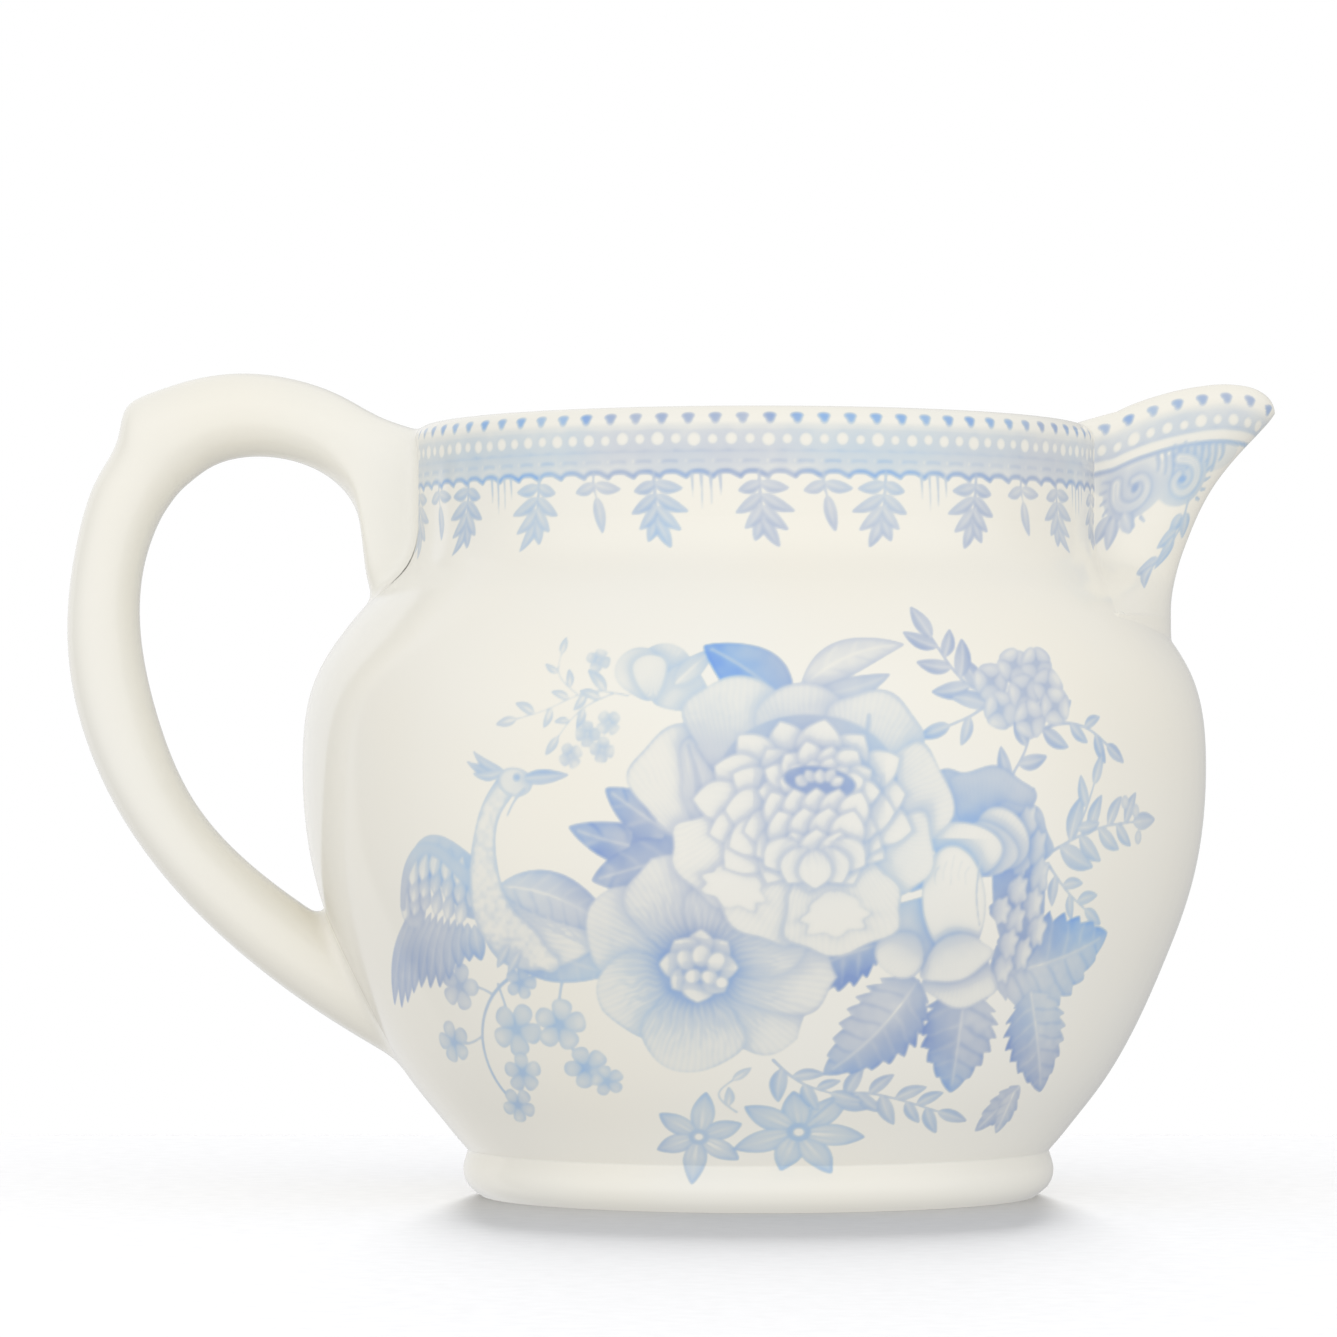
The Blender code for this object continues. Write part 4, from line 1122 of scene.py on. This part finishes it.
def glaze_material(name, with_print):
    """Cream glaze, a little uneven in tone and level, over a blue print where the skin carries ink."""
    nodes = Nodes(name)
    drift = nodes.spread(nodes.noise(34.0, 2.0), 0.0, 1.0, 0.35, 0.65)
    cream = nodes.ramp(drift, [(0.0, GLAZE_WARM), (1.0, GLAZE_COOL)])
    roughness = nodes.spread(nodes.noise(9.0, 4.0, 0.6, 3.0), 0.075, 0.15)
    if with_print:
        ink = nodes.add("ShaderNodeAttribute", attribute_name="ink").outputs["Fac"]
        tint = nodes.spread(nodes.noise(20.0, 1.0, 0.5, 9.0), 0.0, 1.0, 0.4, 0.6)
        blue = nodes.mix(tint, nodes.ramp(ink, INK_BLUE), nodes.ramp(ink, INK_VIOLET))
        share = nodes.spread(ink, 0.0, 1.0, 0.0, 0.22)
        cream = nodes.mix(share, cream, blue)
    nodes.join(cream, nodes.shader.inputs["Base Color"])
    nodes.join(roughness, nodes.shader.inputs["Roughness"])
    nodes.shader.inputs["IOR"].default_value = 1.5
    nodes.bump([(nodes.noise(16.0, 1.0, 0.5, 5.0), 0.10), (nodes.noise(3.0, 2.0, 0.5, 7.0), 0.006)])
    return nodes.material


def biscuit_material():
    """The unglazed clay of the sole, matt and finely grained."""
    nodes = Nodes("bare_clay")
    grain = nodes.noise(0.5, 4.0, 0.7)
    colour = nodes.ramp(grain, [(0.3, (205, 198, 182)), (0.7, (228, 222, 208))])
    nodes.join(colour, nodes.shader.inputs["Base Color"])
    nodes.join(nodes.spread(nodes.noise(1.2, 3.0), 0.7, 0.9), nodes.shader.inputs["Roughness"])
    nodes.bump([(grain, 0.04), (nodes.noise(3.0, 2.0, 0.5, 2.0), 0.05)])
    return nodes.material


def bowl_distance(points):
    """Distance from the bowl's outer wall and rounded rim, outside positive, and the direction away."""
    across = points[..., 0] - lean(points[..., 2])
    radius = np.hypot(across, points[..., 1])
    slope = np.gradient(OUTER[:-1, 0], OUTER[:-1, 1])
    tilt = np.interp(points[..., 2], OUTER[:-1, 1], slope)
    flat = 1 / np.sqrt(1 + tilt ** 2)
    distance = (radius - outer_radius(points[..., 2])) * flat
    outward, upward = flat, -tilt * flat
    rim_radius, rim_z = NECK_RADIUS - WALL / 2, RIM_Z - WALL / 2
    up, out = points[..., 2] - rim_z, radius - rim_radius
    round_distance = np.hypot(up, out)
    over = up > 0
    distance = np.where(over, round_distance - WALL / 2, distance)
    outward = np.where(over, out / np.maximum(round_distance, 1e-6), outward)
    upward = np.where(over, up / np.maximum(round_distance, 1e-6), upward)
    away = np.stack([outward * across / radius, outward * points[..., 1] / radius, upward], axis=-1)
    return distance, away


def on_bowl(points):
    """The nearest points on the bowl's outer wall."""
    for _ in range(4):
        distance, away = bowl_distance(points)
        points = points - distance[..., None] * away
    return points


def handle_lines(rings, sides):
    """Points of the handle by ring and side, and the middle of each ring."""
    ribs = np.array([(*outside, *inside, half) for outside, inside, half in HANDLE_RIBS])
    line = smooth_line(ribs, rings)
    middle = np.stack([(line[:, 0] + line[:, 2]) / 2, np.zeros(rings), (line[:, 1] + line[:, 3]) / 2], axis=1)
    reach = np.stack([(line[:, 0] - line[:, 2]) / 2, np.zeros(rings), (line[:, 1] - line[:, 3]) / 2], axis=1)
    angle = np.linspace(0, 2 * math.pi, sides, endpoint=False)
    near_bowl = smooth_step(2.6, 0.4, np.linspace(0, len(HANDLE_RIBS) - 1, rings))[:, None, None]
    power = ROUND_POWER + (ROOT_POWER - ROUND_POWER) * near_bowl
    along, wide = np.cos(angle)[None, :, None], np.sin(angle)[None, :, None]
    size = (np.abs(along) ** power + np.abs(wide) ** power) ** (-1 / power)
    half = line[:, 4][:, None, None] * np.array([0.0, 1.0, 0.0])
    points = middle[:, None] + along * size * reach[:, None] + wide * size * half
    return points, middle


def handle_root(points, middle, order, start_distance, spread, steps):
    """The flared end of the handle, from its free length down onto the bowl, with each side its own curve.

    order is the rings from the free length towards the bowl. Returns the curves and where each one starts.
    """
    sides = points.shape[1]
    starts, curves = np.zeros(sides), np.zeros((steps, sides, 3))
    distance, _ = bowl_distance(points)
    for side in range(sides):
        line, away = points[order, side], distance[order, side]
        first = int(np.argmax(away < start_distance[side]))
        share = (away[first - 1] - start_distance[side]) / (away[first - 1] - away[first])
        begin = line[first - 1] + share * (line[first] - line[first - 1])
        meet = int(np.argmax(away < 0)) if (away < 0).any() else len(order) - 1
        heading = line[first] - line[first - 2]
        heading /= np.linalg.norm(heading)
        landing = on_bowl(line[meet])
        _, normal = bowl_distance(landing)
        sideways = landing - middle[order[meet]]
        sideways -= normal * (sideways @ normal)
        sideways /= max(np.linalg.norm(sideways), 1e-6)
        foot = on_bowl(landing + sideways * spread[side])
        _, normal = bowl_distance(foot)
        arrival = sideways - normal * (sideways @ normal)
        arrival /= np.linalg.norm(arrival)
        pull = 0.45 * np.linalg.norm(foot - begin)
        at = np.linspace(0, 1, steps)[:, None]
        control = (begin, begin + heading * pull, foot - arrival * pull, foot - normal * 0.02)
        weights = ((1 - at) ** 3, 3 * at * (1 - at) ** 2, 3 * at ** 2 * (1 - at), at ** 3)
        curves[:, side] = sum(weight * point for weight, point in zip(weights, control))
        starts[side] = order[first - 1] + share * (order[first] - order[first - 1])
    return curves, starts


def build_handle(material):
    points, middle = handle_lines(HANDLE_RINGS, HANDLE_SIDES)
    half = HANDLE_RINGS // 2
    angle = np.linspace(0, 2 * math.pi, HANDLE_SIDES, endpoint=False)
    top = smooth_step(0.5, 1.0, np.cos(angle))
    upper, upper_at = handle_root(points, middle, np.arange(half, -1, -1),
                                  UPPER_START - UPPER_START_TOP * top,
                                  UPPER_SPREAD - UPPER_SPREAD_TOP * top, UPPER_STEPS)
    lower, lower_at = handle_root(points, middle, np.arange(half, HANDLE_RINGS),
                                  np.full(HANDLE_SIDES, LOWER_START),
                                  np.full(HANDLE_SIDES, LOWER_SPREAD), LOWER_STEPS)
    share = np.linspace(0, 1, HANDLE_ROWS)[1:-1, None]
    wanted = upper_at + (lower_at - upper_at) * share
    low = np.floor(wanted).astype(int)
    part = (wanted - low)[..., None]
    side = np.arange(HANDLE_SIDES)[None, :]
    free = points[low, side] * (1 - part) + points[low + 1, side] * part
    grid = softened(np.concatenate([upper[::-1], free, lower]), 2, 1)
    normals = -grid_normals(grid, True)
    piece = skin("handle_skin", grid[:, ::-1], normals[:, ::-1], closed=True)
    piece.data.materials.append(material)
    return piece


def build_floor():
    """A sheet of white paper, which ends a little way behind the jug."""
    mesh = bpy.data.meshes.new("floor")
    left, right = -PAPER_SIZE, PAPER_SIZE
    corners = [(left, -PAPER_SIZE), (right, -PAPER_SIZE), (right, PAPER_BACK), (left, PAPER_BACK)]
    mesh.from_pydata([(x, y, 0) for x, y in corners], [], [(0, 1, 2, 3)])
    floor = bpy.data.objects.new("floor", mesh)
    bpy.context.scene.collection.objects.link(floor)
    floor.visible_diffuse = False
    floor.visible_glossy = False
    nodes = Nodes("floor_paper")
    grain = nodes.noise(2.0, 3.0)
    colour = nodes.ramp(grain, [(0.3, (206, 206, 207)), (0.7, (210, 210, 211))])
    nodes.join(colour, nodes.shader.inputs["Base Color"])
    nodes.shader.inputs["Roughness"].default_value = 1.0
    nodes.shader.inputs["Specular IOR Level"].default_value = 0.0
    nodes.bump([(grain, 0.01)])
    mesh.materials.append(nodes.material)
    return floor


def build_camera():
    data = bpy.data.cameras.new("camera")
    data.sensor_width = SENSOR_WIDTH
    data.lens = LENS
    camera = bpy.data.objects.new("camera", data)
    bpy.context.scene.collection.objects.link(camera)
    camera.location = (0.0, -CAMERA_DISTANCE, CAMERA_HEIGHT)
    camera.rotation_euler = (math.radians(90 + CAMERA_RISE), 0.0, 0.0)
    bpy.context.scene.camera = camera


def collection_of(name, things):
    group = bpy.data.collections.new(name)
    for thing in things:
        group.objects.link(thing)
    return group


def build_floor_light(floor, foot):
    """A low soft lamp behind the jug that only the paper takes light from, past the jug's foot."""
    light = bpy.data.lights.new("floor_light", "SUN")
    light.energy = FLOOR_LIGHT
    light.angle = math.radians(FLOOR_LIGHT_SPREAD)
    lamp = bpy.data.objects.new("floor_light", light)
    lamp.rotation_euler = (math.radians(FLOOR_LIGHT_HEIGHT - 90), 0.0, math.radians(FLOOR_LIGHT_TURN))
    bpy.context.scene.collection.objects.link(lamp)
    lamp.light_linking.receiver_collection = collection_of("lit_by_floor_light", [floor])
    lamp.light_linking.blocker_collection = collection_of("shades_floor_light", foot)


def build_tent():
    """A pale tent all round: brightest overhead and by the camera, dimmer behind, most so on the right.

    The camera itself sees plain white behind the jug.
    """
    world = bpy.data.worlds.new("studio")
    bpy.context.scene.world = world
    world.use_nodes = True
    tree = world.node_tree

    def math_node(operation, a, b, clamp=False):
        node = tree.nodes.new("ShaderNodeMath")
        node.operation = operation
        node.use_clamp = clamp
        for slot, value in zip(node.inputs, (a, b)):
            if isinstance(value, float):
                slot.default_value = value
            else:
                tree.links.new(value, slot)
        return node.outputs[0]

    def step(value, low, high):
        node = tree.nodes.new("ShaderNodeMapRange")
        node.interpolation_type = "SMOOTHSTEP"
        node.inputs["From Min"].default_value = low
        node.inputs["From Max"].default_value = high
        tree.links.new(value, node.inputs["Value"])
        return node.outputs["Result"]

    direction = tree.nodes.new("ShaderNodeTexCoord").outputs["Generated"]
    axes = tree.nodes.new("ShaderNodeSeparateXYZ")
    tree.links.new(direction, axes.inputs[0])
    x, y, z = axes.outputs
    level = math_node("SQRT", math_node("ADD", math_node("MULTIPLY", x, x), math_node("MULTIPLY", y, y)), 0.0)
    facing = math_node("DIVIDE", y, math_node("MAXIMUM", level, 0.001))
    left = math_node("DIVIDE", x, math_node("MAXIMUM", level, 0.001))
    front = math_node("MULTIPLY", step(facing, 0.3, -0.6), FRONT_LIGHT)
    behind = math_node("MULTIPLY", step(facing, SCREEN_EDGE - 0.03, SCREEN_EDGE + 0.03),
                       step(left, 0.15, -0.35))
    screen = math_node("MULTIPLY", behind, SCREEN_LIGHT)
    walls = math_node("ADD", math_node("ADD", front, screen), WALL_LIGHT)
    above = step(z, 0.3, 0.9)
    below = step(z, BELOW_EDGE, BELOW_EDGE - 0.4)
    under = math_node("MULTIPLY", walls, math_node("SUBTRACT", 1.0, above))
    level_light = math_node("MULTIPLY", under, math_node("SUBTRACT", 1.0, below))
    around = math_node("ADD", level_light, math_node("MULTIPLY", above, ROOF_LIGHT))
    around = math_node("ADD", around, math_node("MULTIPLY", below, BELOW_LIGHT))
    seen = tree.nodes.new("ShaderNodeLightPath").outputs["Is Camera Ray"]
    strength = math_node("ADD", math_node("MULTIPLY", around, math_node("SUBTRACT", 1.0, seen)), seen)
    tree.links.new(strength, tree.nodes["Background"].inputs["Strength"])
    tree.nodes["Background"].inputs["Color"].default_value = (1, 1, 1, 1)
    bpy.context.scene.view_settings.view_transform = "Standard"


materials = {
    "printed": glaze_material("printed_glaze", True),
    "plain": glaze_material("cream_glaze", False),
    "sole": biscuit_material(),
}
vessel = build_vessel(materials)
handle = build_handle(materials["plain"])
for name in ("bowl_front", "bowl_back", "neck_front", "neck_back", "interior"):
    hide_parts("jug_body")
for name in ("foot_skin", "foot_sole", "foot_recess"):
    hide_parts("foot_ring")
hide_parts("pouring_spout")
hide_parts("handle", "handle_upper_luting", "handle_lower_luting")
build_floor_light(build_floor(), [vessel["foot_skin"], vessel["foot_sole"]])
build_camera()
build_tent()
